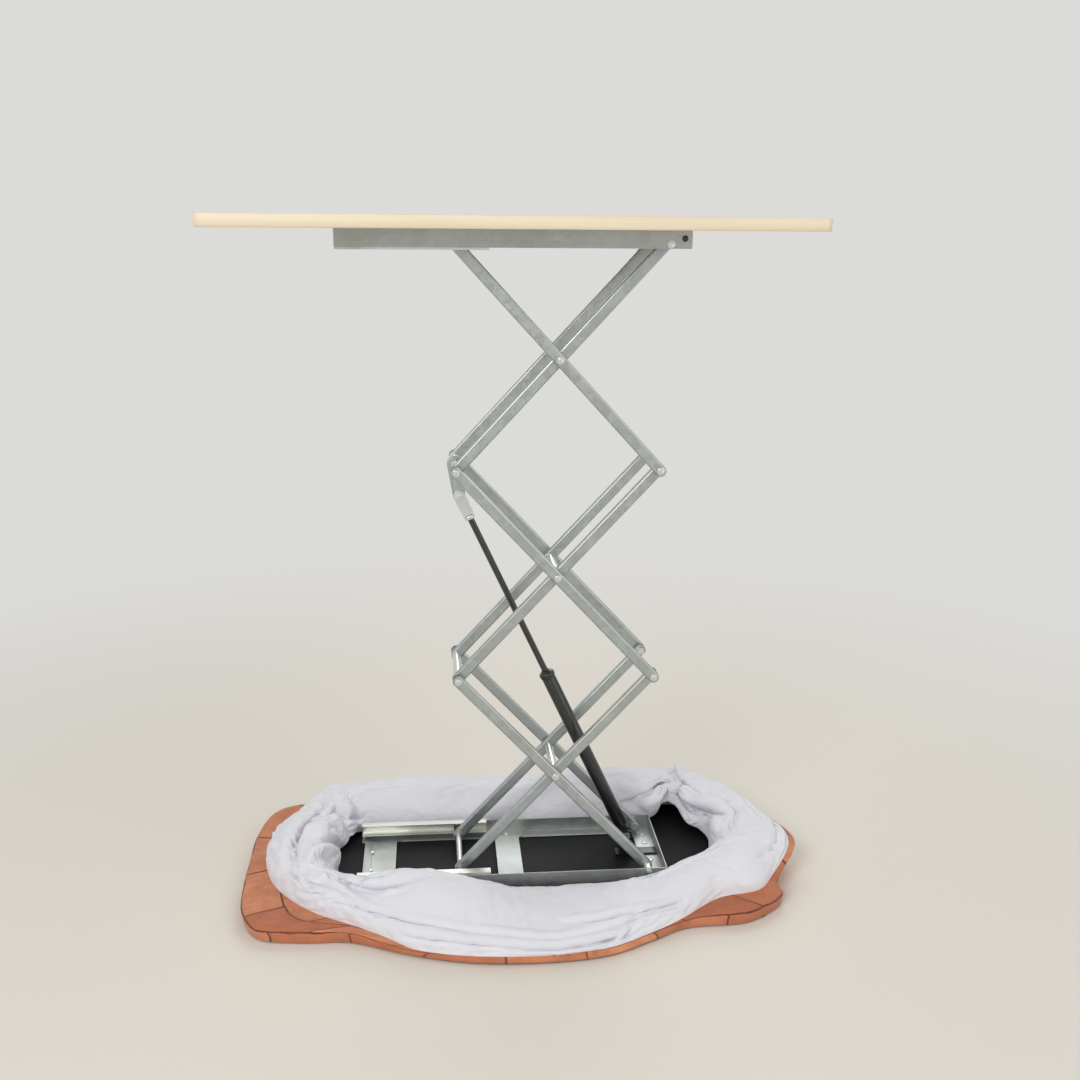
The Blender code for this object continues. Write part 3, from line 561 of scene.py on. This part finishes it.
cover = {
    "flat": (2.18, 0.93),     # round the base, and up to the table top
    "columns": 520, "printRows": 16, "skinRows": 108, "layers": 9, "layerRows": 6,
    "ringSteps": 40, "trailSteps": 70,     # steps for reading the stations and the paths below
    "hemLift": 0.0012, "boardLevel": 0.0176, "layerShare": (0.72, 0.24), "puff": 0.003,
    "bandPuff": 0.0015, "bandLift": 0.0006,     # of the printed band
    "lastShare": 0.9999,     # paths end just short of the last row
    "trailFade": 0.5,     # power by which rolls and creases die out at their ends
    "ripples": ((10.0, 0.0036), (26.0, 0.0024), (64.0, 0.0009)),     # scale and height
    "calm": 5.0,     # how steeply the ripples rise from the two borders of the roll
    "easedFirst": {"rounds": 2, "share": 0.5}, "easedLast": {"rounds": 1, "share": 0.4},
    "combed": {"rounds": 10, "most": 0.0012},
    # Counter-clockwise from the right end: the hem, the lip of the print, and the foot of the white roll,
    # then its crest and its inner edge
    "stations": (
        ((0.382, -0.010), (0.427, -0.018, 0.042), (0.418, -0.016, 0.047),
         (0.354, -0.004, 0.072), (0.303, 0.000, 0.0180)),
        ((0.381, 0.040), (0.416, 0.032, 0.041), (0.408, 0.032, 0.047),
         (0.352, 0.036, 0.073), (0.308, 0.032, 0.0200)),
        ((0.378, 0.085), (0.394, 0.082, 0.034), (0.388, 0.078, 0.042),
         (0.340, 0.074, 0.074), (0.298, 0.052, 0.0260)),
        ((0.360, 0.150), (0.374, 0.135, 0.032), (0.367, 0.131, 0.040),
         (0.322, 0.116, 0.074), (0.282, 0.066, 0.0300)),
        ((0.310, 0.170), (0.315, 0.178, 0.012), (0.312, 0.176, 0.018),
         (0.290, 0.130, 0.084), (0.272, 0.104, 0.040)),
        ((0.262, 0.172), (0.262, 0.186, 0.010), (0.262, 0.184, 0.016),
         (0.258, 0.134, 0.089), (0.252, 0.110, 0.042)),
        ((0.215, 0.172), (0.215, 0.190, 0.010), (0.215, 0.188, 0.016),
         (0.212, 0.134, 0.088), (0.222, 0.090, 0.026)),
        ((0.100, 0.172), (0.100, 0.188, 0.010), (0.100, 0.186, 0.016),
         (0.095, 0.134, 0.082), (0.100, 0.092, 0.0178)),
        ((-0.030, 0.172), (-0.030, 0.188, 0.010), (-0.030, 0.186, 0.016),
         (-0.030, 0.134, 0.079), (-0.030, 0.091, 0.0178)),
        ((-0.150, 0.172), (-0.150, 0.188, 0.010), (-0.150, 0.186, 0.016),
         (-0.150, 0.134, 0.085), (-0.145, 0.092, 0.0178)),
        ((-0.240, 0.172), (-0.240, 0.184, 0.010), (-0.238, 0.182, 0.016),
         (-0.235, 0.132, 0.083), (-0.222, 0.096, 0.0178)),
        ((-0.315, 0.170), (-0.314, 0.174, 0.028), (-0.300, 0.153, 0.033),
         (-0.266, 0.118, 0.080), (-0.237, 0.068, 0.0280)),
        ((-0.362, 0.152), (-0.364, 0.154, 0.026), (-0.325, 0.112, 0.029),
         (-0.279, 0.085, 0.068), (-0.246, 0.050, 0.0240)),
        ((-0.384, 0.090), (-0.384, 0.092, 0.0195), (-0.351, 0.074, 0.026),
         (-0.306, 0.057, 0.066), (-0.256, 0.040, 0.0190)),
        ((-0.385, 0.020), (-0.385, 0.020, 0.0190), (-0.360, 0.020, 0.025),
         (-0.313, 0.016, 0.072), (-0.257, 0.020, 0.0178)),
        ((-0.384, -0.050), (-0.384, -0.050, 0.0188), (-0.348, -0.044, 0.024),
         (-0.304, -0.036, 0.074), (-0.254, -0.020, 0.0178)),
        ((-0.376, -0.115), (-0.376, -0.115, 0.0188), (-0.316, -0.096, 0.023),
         (-0.282, -0.076, 0.070), (-0.250, -0.055, 0.0178)),
        ((-0.348, -0.160), (-0.348, -0.160, 0.0188), (-0.270, -0.138, 0.022),
         (-0.246, -0.106, 0.066), (-0.222, -0.089, 0.0178)),
        ((-0.285, -0.172), (-0.285, -0.172, 0.0188), (-0.226, -0.160, 0.019),
         (-0.205, -0.116, 0.068), (-0.185, -0.092, 0.0178)),
        ((-0.225, -0.176), (-0.225, -0.177, 0.0160), (-0.180, -0.186, 0.015),
         (-0.150, -0.120, 0.071), (-0.140, -0.093, 0.0178)),
        ((-0.150, -0.208), (-0.150, -0.212, 0.0080), (-0.135, -0.215, 0.012),
         (-0.095, -0.126, 0.0735), (-0.085, -0.093, 0.0178)),
        ((-0.065, -0.233), (-0.065, -0.237, 0.0070), (-0.063, -0.234, 0.012),
         (-0.035, -0.134, 0.056), (-0.030, -0.093, 0.0178)),
        ((0.030, -0.240), (0.030, -0.244, 0.0070), (0.030, -0.240, 0.012),
         (0.035, -0.136, 0.044), (0.035, -0.093, 0.0178)),
        ((0.115, -0.231), (0.115, -0.235, 0.0070), (0.113, -0.230, 0.012),
         (0.110, -0.132, 0.047), (0.100, -0.093, 0.0178)),
        ((0.180, -0.202), (0.180, -0.206, 0.0080), (0.174, -0.202, 0.012),
         (0.165, -0.126, 0.054), (0.155, -0.093, 0.0178)),
        ((0.235, -0.176), (0.235, -0.178, 0.0140), (0.222, -0.178, 0.016),
         (0.208, -0.118, 0.060), (0.200, -0.092, 0.0178)),
        ((0.320, -0.169), (0.320, -0.169, 0.0188), (0.284, -0.140, 0.023),
         (0.262, -0.098, 0.066), (0.250, -0.078, 0.0178)),
        ((0.376, -0.130), (0.378, -0.130, 0.0200), (0.345, -0.128, 0.026),
         (0.306, -0.078, 0.073), (0.282, -0.052, 0.0178)),
        ((0.381, -0.096), (0.380, -0.098, 0.0230), (0.375, -0.095, 0.030),
         (0.332, -0.058, 0.073), (0.296, -0.034, 0.0178)),
        ((0.384, -0.050), (0.414, -0.057, 0.0390), (0.407, -0.054, 0.044),
         (0.347, -0.031, 0.072), (0.302, -0.014, 0.0180)),
    ),
    # Rolls of cloth: (station, share of the way over the ring) along each, height and half width
    "rolls": (
        (((14.1, 0.55), (14.2, 0.66), (13.6, 0.76), (12.8, 0.83), (12.0, 0.90)), 0.020, 0.018),
        (((15.9, 0.50), (15.3, 0.64), (15.0, 0.80), (14.7, 0.99)), 0.013, 0.015),
        (((11.6, 0.70), (11.0, 0.78), (10.4, 0.88), (10.0, 0.97)), 0.006, 0.014),
        (((17.2, 0.52), (18.2, 0.50), (19.1, 0.52), (19.7, 0.58)), 0.007, 0.012),
        (((6.4, 0.72), (5.9, 0.86), (5.7, 0.98)), 0.008, 0.016),
        (((4.15, 0.73), (3.3, 0.75), (2.4, 0.73), (1.5, 0.67), (0.9, 0.60)), 0.011, 0.013),
        (((1.4, 0.82), (0.5, 0.80), (-0.4, 0.82)), 0.008, 0.014),
        (((4.28, 0.43), (4.45, 0.52), (4.62, 0.64)), 0.018, 0.010),
    ),
    "rollForm": {"reach": 2, "round": 0.75, "taper": 2},     # reach in half widths, powers of top and ends
    # Creases: a path with its upper side on the left, depth, width, and how far that side hangs over
    "deepCreases": (
        (((16.4, 0.44), (17.1, 0.44), (17.7, 0.40), (18.35, 0.345), (18.8, 0.385), (19.3, 0.43),
          (19.7, 0.50)), 0.0130, 0.0050, 0.0065),
        (((15.6, 0.31), (16.4, 0.34), (17.2, 0.33), (17.9, 0.27)), 0.0110, 0.0048, 0.0050),
        (((15.6, 0.32), (15.0, 0.39), (14.45, 0.465), (13.45, 0.53), (12.35, 0.505), (11.6, 0.42),
          (11.1, 0.31)), 0.0130, 0.0075, 0.0040),
        (((15.3, 0.55), (14.97, 0.676), (14.62, 0.76), (14.1, 0.86), (13.7, 0.97)), 0.0140, 0.0065, 0.0040),
        (((16.2, 0.47), (15.8, 0.58), (15.6, 0.70), (15.4, 0.84)), 0.0090, 0.0060, 0.0030),
        (((11.7, 0.78), (11.3, 0.90), (11.1, 1.00)), 0.0080, 0.0070, 0.0020),
        (((13.0, 0.57), (12.4, 0.59), (11.9, 0.62), (11.2, 0.77), (10.6, 0.85), (10.1, 0.90)),
         0.0120, 0.0065, 0.0020),
        (((4.45, 0.74), (5.2, 0.77), (5.9, 0.80), (6.4, 0.88)), 0.0130, 0.0065, 0.0050),
        (((4.42, 0.74), (4.6, 0.86), (4.8, 1.00)), 0.0100, 0.0060, 0.0030),
        (((4.2, 0.68), (3.8, 0.64), (3.1, 0.62), (2.15, 0.62), (1.4, 0.55)), 0.0120, 0.0060, 0.0050),
        (((4.2, 0.76), (3.7, 0.87), (2.85, 0.84), (1.5, 0.775), (0.7, 0.67)), 0.0130, 0.0065, 0.0050),
        (((6.6, 0.66), (7.6, 0.72), (9.0, 0.70), (10.0, 0.64)), 0.0030, 0.0120, 0.0000),
    ),
    "fineCreases": (
        (((18.6, 0.17), (19.6, 0.175), (20.6, 0.196), (21.6, 0.204), (22.3, 0.195), (23.1, 0.208),
          (24.1, 0.206), (25.2, 0.155)), 0.0125, 0.0033, 0.0074),
        (((19.6, 0.07), (20.9, 0.12), (22.0, 0.11), (23.0, 0.12), (23.6, 0.09)), 0.0118, 0.0033, 0.0067),
        (((22.3, 0.30), (22.9, 0.279), (23.5, 0.268), (24.25, 0.234), (25.0, 0.175)),
         0.0120, 0.0035, 0.0072),
        (((15.4, 0.335), (14.45, 0.463), (13.45, 0.53), (12.35, 0.505), (11.5, 0.40)),
         0.0090, 0.0046, 0.0025),
        (((15.2, 0.575), (14.95, 0.68), (14.6, 0.765), (14.2, 0.86)), 0.0105, 0.0038, 0.0055),
        (((16.4, 0.44), (17.2, 0.41), (18.1, 0.43), (18.7, 0.48)), 0.0080, 0.0036, 0.0050),
        (((17.6, 0.405), (18.35, 0.345), (18.8, 0.385), (19.3, 0.43), (19.7, 0.50)),
         0.0095, 0.0036, 0.0060),
        (((4.65, 0.752), (5.0, 0.768), (5.5, 0.79), (6.1, 0.83)), 0.0105, 0.0038, 0.0055),
        (((3.95, 0.662), (3.6, 0.637), (3.1, 0.622), (2.15, 0.62), (1.5, 0.56)), 0.0105, 0.0040, 0.0058),
        (((3.9, 0.84), (3.6, 0.87), (2.85, 0.84), (1.5, 0.775), (0.8, 0.68)), 0.0105, 0.0040, 0.0058),
        (((12.5, 0.59), (11.95, 0.61), (11.2, 0.775), (10.5, 0.86), (10.0, 0.90)), 0.0080, 0.0040, 0.0030),
        (((15.6, 0.25), (16.6, 0.29), (17.6, 0.24), (18.3, 0.19), (18.9, 0.165)), 0.0110, 0.0038, 0.0066),
        (((1.5, 0.56), (1.15, 0.545), (0.8, 0.52), (0.2, 0.58), (-0.6, 0.61)), 0.0080, 0.0045, 0.0040),
        (((0.2, 0.63), (-0.4, 0.66), (-0.9, 0.62)), 0.0070, 0.0050, 0.0030),
        (((6.2, 0.24), (7.1, 0.15), (8.2, 0.19), (9.2, 0.13), (10.1, 0.21)), 0.0065, 0.0060, 0.0035),
        (((5.4, 0.29), (6.6, 0.36), (7.7, 0.30), (8.6, 0.34), (9.5, 0.29)), 0.0060, 0.0060, 0.0030),
        (((10.0, 0.30), (11.5, 0.26), (12.5, 0.30)), 0.0070, 0.0050, 0.0040),
        (((13.0, 0.22), (14.0, 0.18), (15.2, 0.20)), 0.0050, 0.0050, 0.0030),
        (((27.5, 0.28), (28.6, 0.24), (29.6, 0.26), (30.8, 0.22)), 0.0060, 0.0050, 0.0030),
        (((0.4, 0.34), (1.6, 0.36), (2.8, 0.30)), 0.0060, 0.0045, 0.0030),
    ),
    # In widths of the crease: its reach, the power of its valley, the bulges beside it (share of the depth,
    # place, width), and the place and width of the overhang
    "creaseForm": {"reach": 6, "valley": 1.5, "bulges": ((0.45, 1.9, 0.9), (0.15, -2.2, 1.0)),
                   "hang": (1.0, 1.0)},
}

sectionColumns = {"hem": slice(0, 2), "lip": slice(2, 5), "foot": slice(5, 8), "crest": slice(8, 11),
                  "inner": slice(11, 14)}
tiny = 1e-9     # keeps a division by a length of nothing away


def smoothRead(table, where, closed=True):     # a smooth curve through a table's rows, read between them
    count = len(table)
    index = np.minimum(np.floor(where).astype(int), count if closed else count - 2)
    share = (where - index)[:, None]
    rows = [index + step for step in (-1, 0, 1, 2)]
    rows = [row % count if closed else np.clip(row, 0, count - 1) for row in rows]
    before, start, end, after = (table[row] for row in rows)
    return 0.5 * (2 * start + (end - before) * share + (2 * before - 5 * start + 4 * end - after) * share ** 2
                  + (3 * (start - end) + after - before) * share ** 3)


def unit(vectors):
    return vectors / np.maximum(np.linalg.norm(vectors, axis=-1, keepdims=True), tiny)


def coverRing():     # the keys of each section, at even steps round the foot, and their station numbers
    table = np.array([[number for key in station for number in key] for station in cover["stations"]])
    fine = np.linspace(0, len(table), cover["ringSteps"] * len(table) + 1)
    foot = smoothRead(table, fine)[:, sectionColumns["foot"]]
    walk = np.concatenate([[0], np.cumsum(np.linalg.norm(np.diff(foot, axis=0), axis=1))])
    stations = np.interp(np.arange(cover["columns"]) / cover["columns"] * walk[-1], walk, fine)
    keys = smoothRead(table, stations)
    ring = {name: keys[:, columns] for name, columns in sectionColumns.items()}
    ring["hem"] = np.column_stack([ring["hem"], np.full(len(keys), cover["hemLift"])])
    return stations, ring


def rollSkin(ring):     # the white roll, as points[column, row]
    foot, crest, inner = (ring[key][:, None, :] for key in ("foot", "crest", "inner"))
    angle = np.linspace(0, pi, cover["skinRows"] + 1)[None, :, None]
    side = np.cos(angle)
    end = np.where(side >= 0, foot, inner)
    skin = crest + (end - crest) * np.abs(side)
    skin[:, :, 2] = (end + (crest - end) * np.sin(angle))[:, :, 2]
    away = unit((foot - crest)[:, :, :2])
    skin[:, :, :2] += away * cover["puff"] * np.sin(np.clip(2 * angle, 0, pi))
    return skin


def outwardOf(skin):     # the outward direction at each point
    around = np.roll(skin, -1, 0) - np.roll(skin, 1, 0)
    over = unit(np.gradient(skin, axis=1))
    return unit(np.cross(around, over))


def trailOn(skin, stations, path):     # the path as points on the skin
    spots = smoothRead(np.array(path), np.linspace(0, len(path) - 1, cover["trailSteps"]), closed=False)
    count = len(cover["stations"])
    column = np.interp(spots[:, 0] % count, np.append(stations, count), np.arange(len(stations) + 1))
    row = np.clip(spots[:, 1], 0, cover["lastShare"]) * (skin.shape[1] - 1)
    left, low = np.floor(column).astype(int), np.floor(row).astype(int)
    across, along = (column - left)[:, None], (row - low)[:, None]
    here, after = skin[left % len(skin)], skin[(left + 1) % len(skin)]
    index = np.arange(len(low))
    start = here[index, low] * (1 - across) + after[index, low] * across
    end = here[index, low + 1] * (1 - across) + after[index, low + 1] * across
    return start * (1 - along) + end * along


def nearTrail(skin, outward, trail, reach):     # points within reach: distance, fade along it, way left
    close = np.all((skin > trail.min(0) - reach) & (skin < trail.max(0) + reach), axis=2)
    offsets = skin[close][:, None, :] - trail[None]
    gaps = np.linalg.norm(offsets, axis=2)
    nearest = gaps.argmin(1)
    index = np.arange(len(nearest))
    left = np.cross(outward[close], unit(np.gradient(trail, axis=0))[nearest])
    side = np.sign((left * offsets[index, nearest]).sum(1))
    fade = np.sin(np.linspace(0, pi, len(trail))) ** cover["trailFade"]
    return close, gaps[index, nearest] * side, fade[nearest], left


def rolled(skin, stations):
    form = cover["rollForm"]
    for path, height, width in cover["rolls"]:
        outward = outwardOf(skin)
        trail = trailOn(skin, stations, path)
        close, gap, fade = nearTrail(skin, outward, trail, form["reach"] * width)[:3]
        swell = np.clip(1 - (gap / width) ** 2, 0, 1) ** form["round"]
        skin[close] += outward[close] * (height * fade ** form["taper"] * swell)[:, None]
    return skin


def bell(where, middle, width):
    return np.exp(-((where - middle) / width) ** 2)


def creased(skin, stations, creases):
    form = cover["creaseForm"]
    for path, depth, width, overlap in creases:
        outward = outwardOf(skin)
        trail = trailOn(skin, stations, path)
        close, gap, fade, left = nearTrail(skin, outward, trail, form["reach"] * width)
        reach = gap / width
        valley = np.exp(-np.abs(reach) ** form["valley"])
        bulges = sum(height * bell(reach, middle, spread) for height, middle, spread in form["bulges"])
        hang = overlap * bell(reach, *form["hang"])
        rise = (depth * fade * (bulges - valley))[:, None]
        skin[close] += outward[close] * rise - left * (hang * fade)[:, None]
    return skin


def eased(skin, rounds, share):
    for step in range(rounds):
        middle = skin[:, 1:-1]
        near = (np.roll(skin, 1, 0) + np.roll(skin, -1, 0))[:, 1:-1] + skin[:, :-2] + skin[:, 2:]
        skin[:, 1:-1] = middle + (near / 4 - middle) * share
    return skin


def combed(skin, rounds, most):     # no point stands out further from its two neighbours along the ring
    for step in range(rounds):
        middle = (np.roll(skin, 1, 0) + np.roll(skin, -1, 0)) / 2
        offset = skin - middle
        length = np.maximum(np.linalg.norm(offset, axis=2, keepdims=True), tiny)
        skin = middle + offset * np.minimum(1, most / length)
    return skin


def rippled(skin):
    outward = outwardOf(skin)
    columns, rows = skin.shape[:2]
    for row in range(rows):
        calm = min(1.0, cover["calm"] * row / rows, cover["calm"] * (1 - row / rows))
        for column in range(columns):
            spot = Vector(skin[column, row])
            ripple = sum(noise.noise(spot * scale) * height for scale, height in cover["ripples"])
            skin[column, row] += outward[column, row] * ripple * calm
    return skin


def printBand(ring):     # from the hem on the floor up over the board's edge to the foot of the roll
    hem, lip, foot = ring["hem"], ring["lip"], ring["foot"]
    away = unit((foot - ring["crest"]) * (1, 1, 0))
    bulge = (hem + lip) / 2 + away * cover["bandPuff"]
    ridge = (lip + foot) / 2 + (0, 0, cover["bandLift"])
    keys = np.stack([hem, bulge, lip, ridge, foot])
    rows = np.linspace(0, len(keys) - 1, cover["printRows"] + 1)[:-1]
    band = smoothRead(keys.reshape(len(keys), -1), rows, closed=False)
    return band.reshape(len(rows), len(hem), 3).transpose(1, 0, 2)


def foldedLayers(ring, skin):     # the rest of the cloth, folded to and fro under the roll
    middle = (ring["foot"] + ring["inner"])[:, None, :] / 2
    middle[:, :, 2] = cover["boardLevel"]
    picked = skin[:, np.linspace(0, skin.shape[1] - 1, cover["layerRows"]).astype(int)]
    layers = []
    for layer, share in enumerate(np.linspace(*cover["layerShare"], cover["layers"])):
        path = middle + (picked - middle) * share
        layers.append(path[:, ::-1] if layer % 2 == 0 else path)
    return np.concatenate(layers, axis=1)


def clothRing(points):     # a closed ring of cloth through points[column, row], with its seam still open
    columns, rows = points.shape[:2]
    shape = bmesh.new()
    bmesh.ops.create_grid(shape, x_segments=columns, y_segments=rows - 1, size=1.0)
    place = shape.verts.layers.int.new("place")
    seam = []
    for vert in shape.verts:
        column, row = round((vert.co.x + 1) / 2 * columns), round((vert.co.y + 1) / 2 * (rows - 1))
        vert[place] = column * rows + row
        vert.co = points[column % columns, row]
        if column in (0, columns):
            seam.append(vert)
    return shape, place, seam


# The bunched ends buckle under a little more cloth than they have room for

settling = {
    "columnStep": 2, "rowStep": 2, "frames": 36, "gravity": 0.25, "thick": 0.0016, "hold": 0.25,
    "most": 0.022,     # no point moves further
    # Station, reach and weight of each bunch
    "bunched": ((13.4, 2.7, 0.6), (2.6, 3.4, 0.55), (22.0, 5.0, 0.25), (8.2, 4.0, 0.4)), "bunchedEdge": 1.5,
    "solver": {"quality": 6, "mass": 0.10, "tension_stiffness": 20.0, "compression_stiffness": 20.0,
               "shear_stiffness": 4.0, "bending_stiffness": 0.03,
               "vertex_group_mass": "held", "pin_stiffness": 1.0,
               "shrink_min": -0.01, "shrink_max": -0.28, "vertex_group_shrink": "bunched"},
}


def bunchedShare(station):     # how much of the spare cloth each point has
    turn = len(cover["stations"])
    share = np.zeros(len(station))
    for middle, reach, weight in settling["bunched"]:
        gap = np.abs((station - middle + turn / 2) % turn - turn / 2)
        share = np.maximum(share, weight * np.clip(settling["bunchedEdge"] - gap / reach, 0, 1))
    return share


def weighGroup(piece, name, weights):
    group = piece.vertex_groups.new(name=name)
    for index, weight in enumerate(weights):
        group.add([index], float(weight), "REPLACE")


def letSettle(piece):     # the points of the cloth after the last frame
    cloth = piece.modifiers.new("cloth", "CLOTH")
    for key, value in settling["solver"].items():
        setattr(cloth.settings, key, value)
    cloth.settings.effector_weights.gravity = settling["gravity"]
    cloth.collision_settings.use_collision = False
    cloth.collision_settings.use_self_collision = True
    cloth.collision_settings.self_distance_min = settling["thick"]
    cloth.point_cache.frame_end = settling["frames"]
    for step in range(1, settling["frames"] + 1):
        scene.frame_set(step)
    mesh = piece.evaluated_get(bpy.context.evaluated_depsgraph_get()).to_mesh()
    found = np.zeros(3 * len(mesh.vertices))
    mesh.vertices.foreach_get("co", found)
    scene.frame_set(1)
    return found.reshape(-1, 3)


def spreadOut(moved, columns, rows):     # the coarse grid's motion, read smoothly on the fine one
    coarseColumns, coarseRows = moved.shape[:2]
    wide = smoothRead(moved.reshape(coarseColumns, -1), np.arange(columns) / settling["columnStep"])
    wide = wide.reshape(columns, coarseRows, 3).transpose(1, 0, 2)
    fine = smoothRead(wide.reshape(coarseRows, -1), np.arange(rows) / settling["rowStep"], closed=False)
    return fine.reshape(rows, columns, 3).transpose(1, 0, 2)


def settled(skin, stations):
    start = skin[::settling["columnStep"], ::settling["rowStep"]]
    columns, rows = start.shape[:2]
    shape, place, seam = clothRing(start)
    bmesh.ops.remove_doubles(shape, verts=seam, dist=mergeGap)
    piece = newPiece("settling", shape)
    spots = np.zeros(len(piece.data.vertices), dtype=np.int32)
    piece.data.attributes["place"].data.foreach_get("value", spots)
    column, row = spots // rows % columns, spots % rows
    weighGroup(piece, "held", np.where((row == 0) | (row == rows - 1), 1.0, settling["hold"]))
    weighGroup(piece, "bunched", bunchedShare(stations[::settling["columnStep"]][column]))
    moved = np.zeros_like(start)
    moved[column, row] = letSettle(piece) - start[column, row]
    bpy.data.objects.remove(piece)
    away = np.linalg.norm(moved, axis=2, keepdims=True)
    moved *= np.minimum(1, settling["most"] / np.maximum(away, tiny))
    print("cover settled, moved", float(away.mean()), float(away.max()))
    return skin + spreadOut(moved, *skin.shape[:2])


def coverPoints():     # the whole cloth as points[column, row], from the hem up
    stations, ring = coverRing()
    layers = foldedLayers(ring, rollSkin(ring))
    skin = creased(rolled(rollSkin(ring), stations), stations, cover["deepCreases"])
    skin = settled(eased(skin, **cover["easedFirst"]), stations)
    skin = creased(rippled(skin), stations, cover["fineCreases"])
    skin = eased(combed(skin, **cover["combed"]), **cover["easedLast"])
    return np.concatenate([printBand(ring), skin, layers], axis=1)


def flatMeasure(cloth):     # how far round the hem each column lies, and how far up the cloth each point
    hemSteps = np.linalg.norm(np.roll(cloth[:, 0], -1, 0) - cloth[:, 0], axis=1)
    upSteps = np.linalg.norm(np.diff(cloth, axis=1), axis=2)
    roundAbout = np.concatenate([[0], np.cumsum(hemSteps)])
    return roundAbout, np.concatenate([np.zeros((len(cloth), 1)), np.cumsum(upSteps, axis=1)], axis=1)


def makeCover():
    cloth = coverPoints()
    columns, rows = cloth.shape[:2]
    roundAbout, upCloth = flatMeasure(cloth)
    shape, place, seam = clothRing(cloth)
    flat = shape.loops.layers.uv.new("flatCloth")
    for face in shape.faces:
        spots = [divmod(loop.vert[place], rows) for loop in face.loops]
        for loop, (column, row) in zip(face.loops, spots):
            loop[flat].uv = roundAbout[column], upCloth[column % columns, row]
        face.material_index = 1 if min(row for column, row in spots) < cover["printRows"] else 0
    bmesh.ops.remove_doubles(shape, verts=seam, dist=mergeGap)
    shape.verts.layers.int.remove(place)
    materials = [finishes["lining"], finishes["print"]]
    piece = showMesh("clothCover", shape, materials, "base", sharpEdges=False)
    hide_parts("fabric_cover")


makeCover()
print("cover let down")


# Floor, light and camera

stage = {"floorRadius": 90.0, "floorSides": 96, "floorDrop": 0.0004, "floorTint": rgb(0.81, 0.77, 0.69),
         "floorRough": 0.55, "cloudRough": 0.1, "clouds": {"scale": 1.5, "detail": 3.0},
         "backdrop": rgb(0.715, 0.71, 0.695), "worldLight": 0.57, "fadeFrom": 0.40, "fadeOver": 1.6}

raysThatSee = ("Is Camera Ray", "Is Glossy Ray", "Is Transmission Ray")


def seen(bench):     # 1 for the rays that show the backdrop, 0 for those that only carry light
    return sum((bench.node("LightPath", output=ray) for ray in raysThatSee), 0.0).clipped()


def paleFloor():     # passes into the backdrop's colour with distance
    material, bench = newFinish("paleFloor")
    middle = {0: bench.node("TexCoord", output="Object")}
    distance = bench.node("VectorMath", {"operation": "LENGTH"}, middle, "Value")
    clouds = bench.noise(bench.place(), **stage["clouds"])
    rough = stage["floorRough"] + clouds * stage["cloudRough"]
    coat(material, bench, BaseColor=stage["floorTint"], Roughness=rough)
    away = ((distance - stage["fadeFrom"]) * (1 / stage["fadeOver"])).clipped()
    backdrop = bench.node("Emission", inputs={"Color": stage["backdrop"], "Strength": 1.0})
    near = Wire(bench, material.node_tree.nodes["Principled BSDF"].outputs[0])
    surface = bench.node("MixShader", inputs={0: away.softened() * seen(bench), 1: near, 2: backdrop})
    bench.plug(material.node_tree.nodes["Material Output"].inputs["Surface"], surface)
    return material


def makeFloor():
    shape = bmesh.new()
    bmesh.ops.create_circle(shape, cap_ends=True, segments=stage["floorSides"], radius=stage["floorRadius"])
    bmesh.ops.translate(shape, verts=shape.verts, vec=(0, 0, -stage["floorDrop"]))
    piece = newPiece("floor", shape)
    piece.data.materials.append(paleFloor())


def makeWorld():
    world = bpy.data.worlds.new("softRoom")
    scene.world = world
    world.use_nodes = True
    bench = Bench(world.node_tree)
    background = world.node_tree.nodes["Background"]
    background.inputs["Color"].default_value = stage["backdrop"]
    strength = stage["worldLight"] + seen(bench) * (1 - stage["worldLight"])
    bench.plug(background.inputs["Strength"], strength)


lamps = (
    {"name": "keyLamp", "at": (-1.5, -2.4, 2.2), "to": (0, 0, 0.40), "size": 1.4, "power": 48.0},
    {"name": "fillLamp", "at": (2.3, -1.7, 1.5), "to": (0, 0, 0.40), "size": 2.4, "power": 20.0},
    {"name": "backLamp", "at": (0.6, 2.4, 2.2), "to": (0, 0, 0.50), "size": 2.0, "power": 26.0},
)


def makeLamps():
    for lamp in lamps:
        light = bpy.data.lights.new(lamp["name"], "AREA")
        light.size = lamp["size"]
        light.energy = lamp["power"]
        piece = bpy.data.objects.new(lamp["name"], light)
        piece.location = lamp["at"]
        heading = Vector(lamp["to"]) - Vector(lamp["at"])
        piece.rotation_euler = heading.to_track_quat("-Z", "Y").to_euler()
        scene.collection.objects.link(piece)


eye = {"at": (-0.104, -1.597, 0.943), "right": radians(5.19), "down": radians(15.08), "roll": radians(0.48),
       "lens": 39.68, "sensor": 36.0}


def makeCamera():
    camera = bpy.data.cameras.new("eye")
    camera.lens = eye["lens"]
    camera.sensor_width = eye["sensor"]
    piece = bpy.data.objects.new("eye", camera)
    turn = Matrix.Rotation(-eye["right"], 4, "Z") @ Matrix.Rotation(pi / 2 - eye["down"], 4, "X")
    piece.matrix_world = Matrix.Translation(eye["at"]) @ turn @ Matrix.Rotation(eye["roll"], 4, "Z")
    scene.collection.objects.link(piece)
    scene.camera = piece


makeFloor()
makeWorld()
makeLamps()
makeCamera()
scene.view_settings.view_transform = "Standard"
print("stage lit")
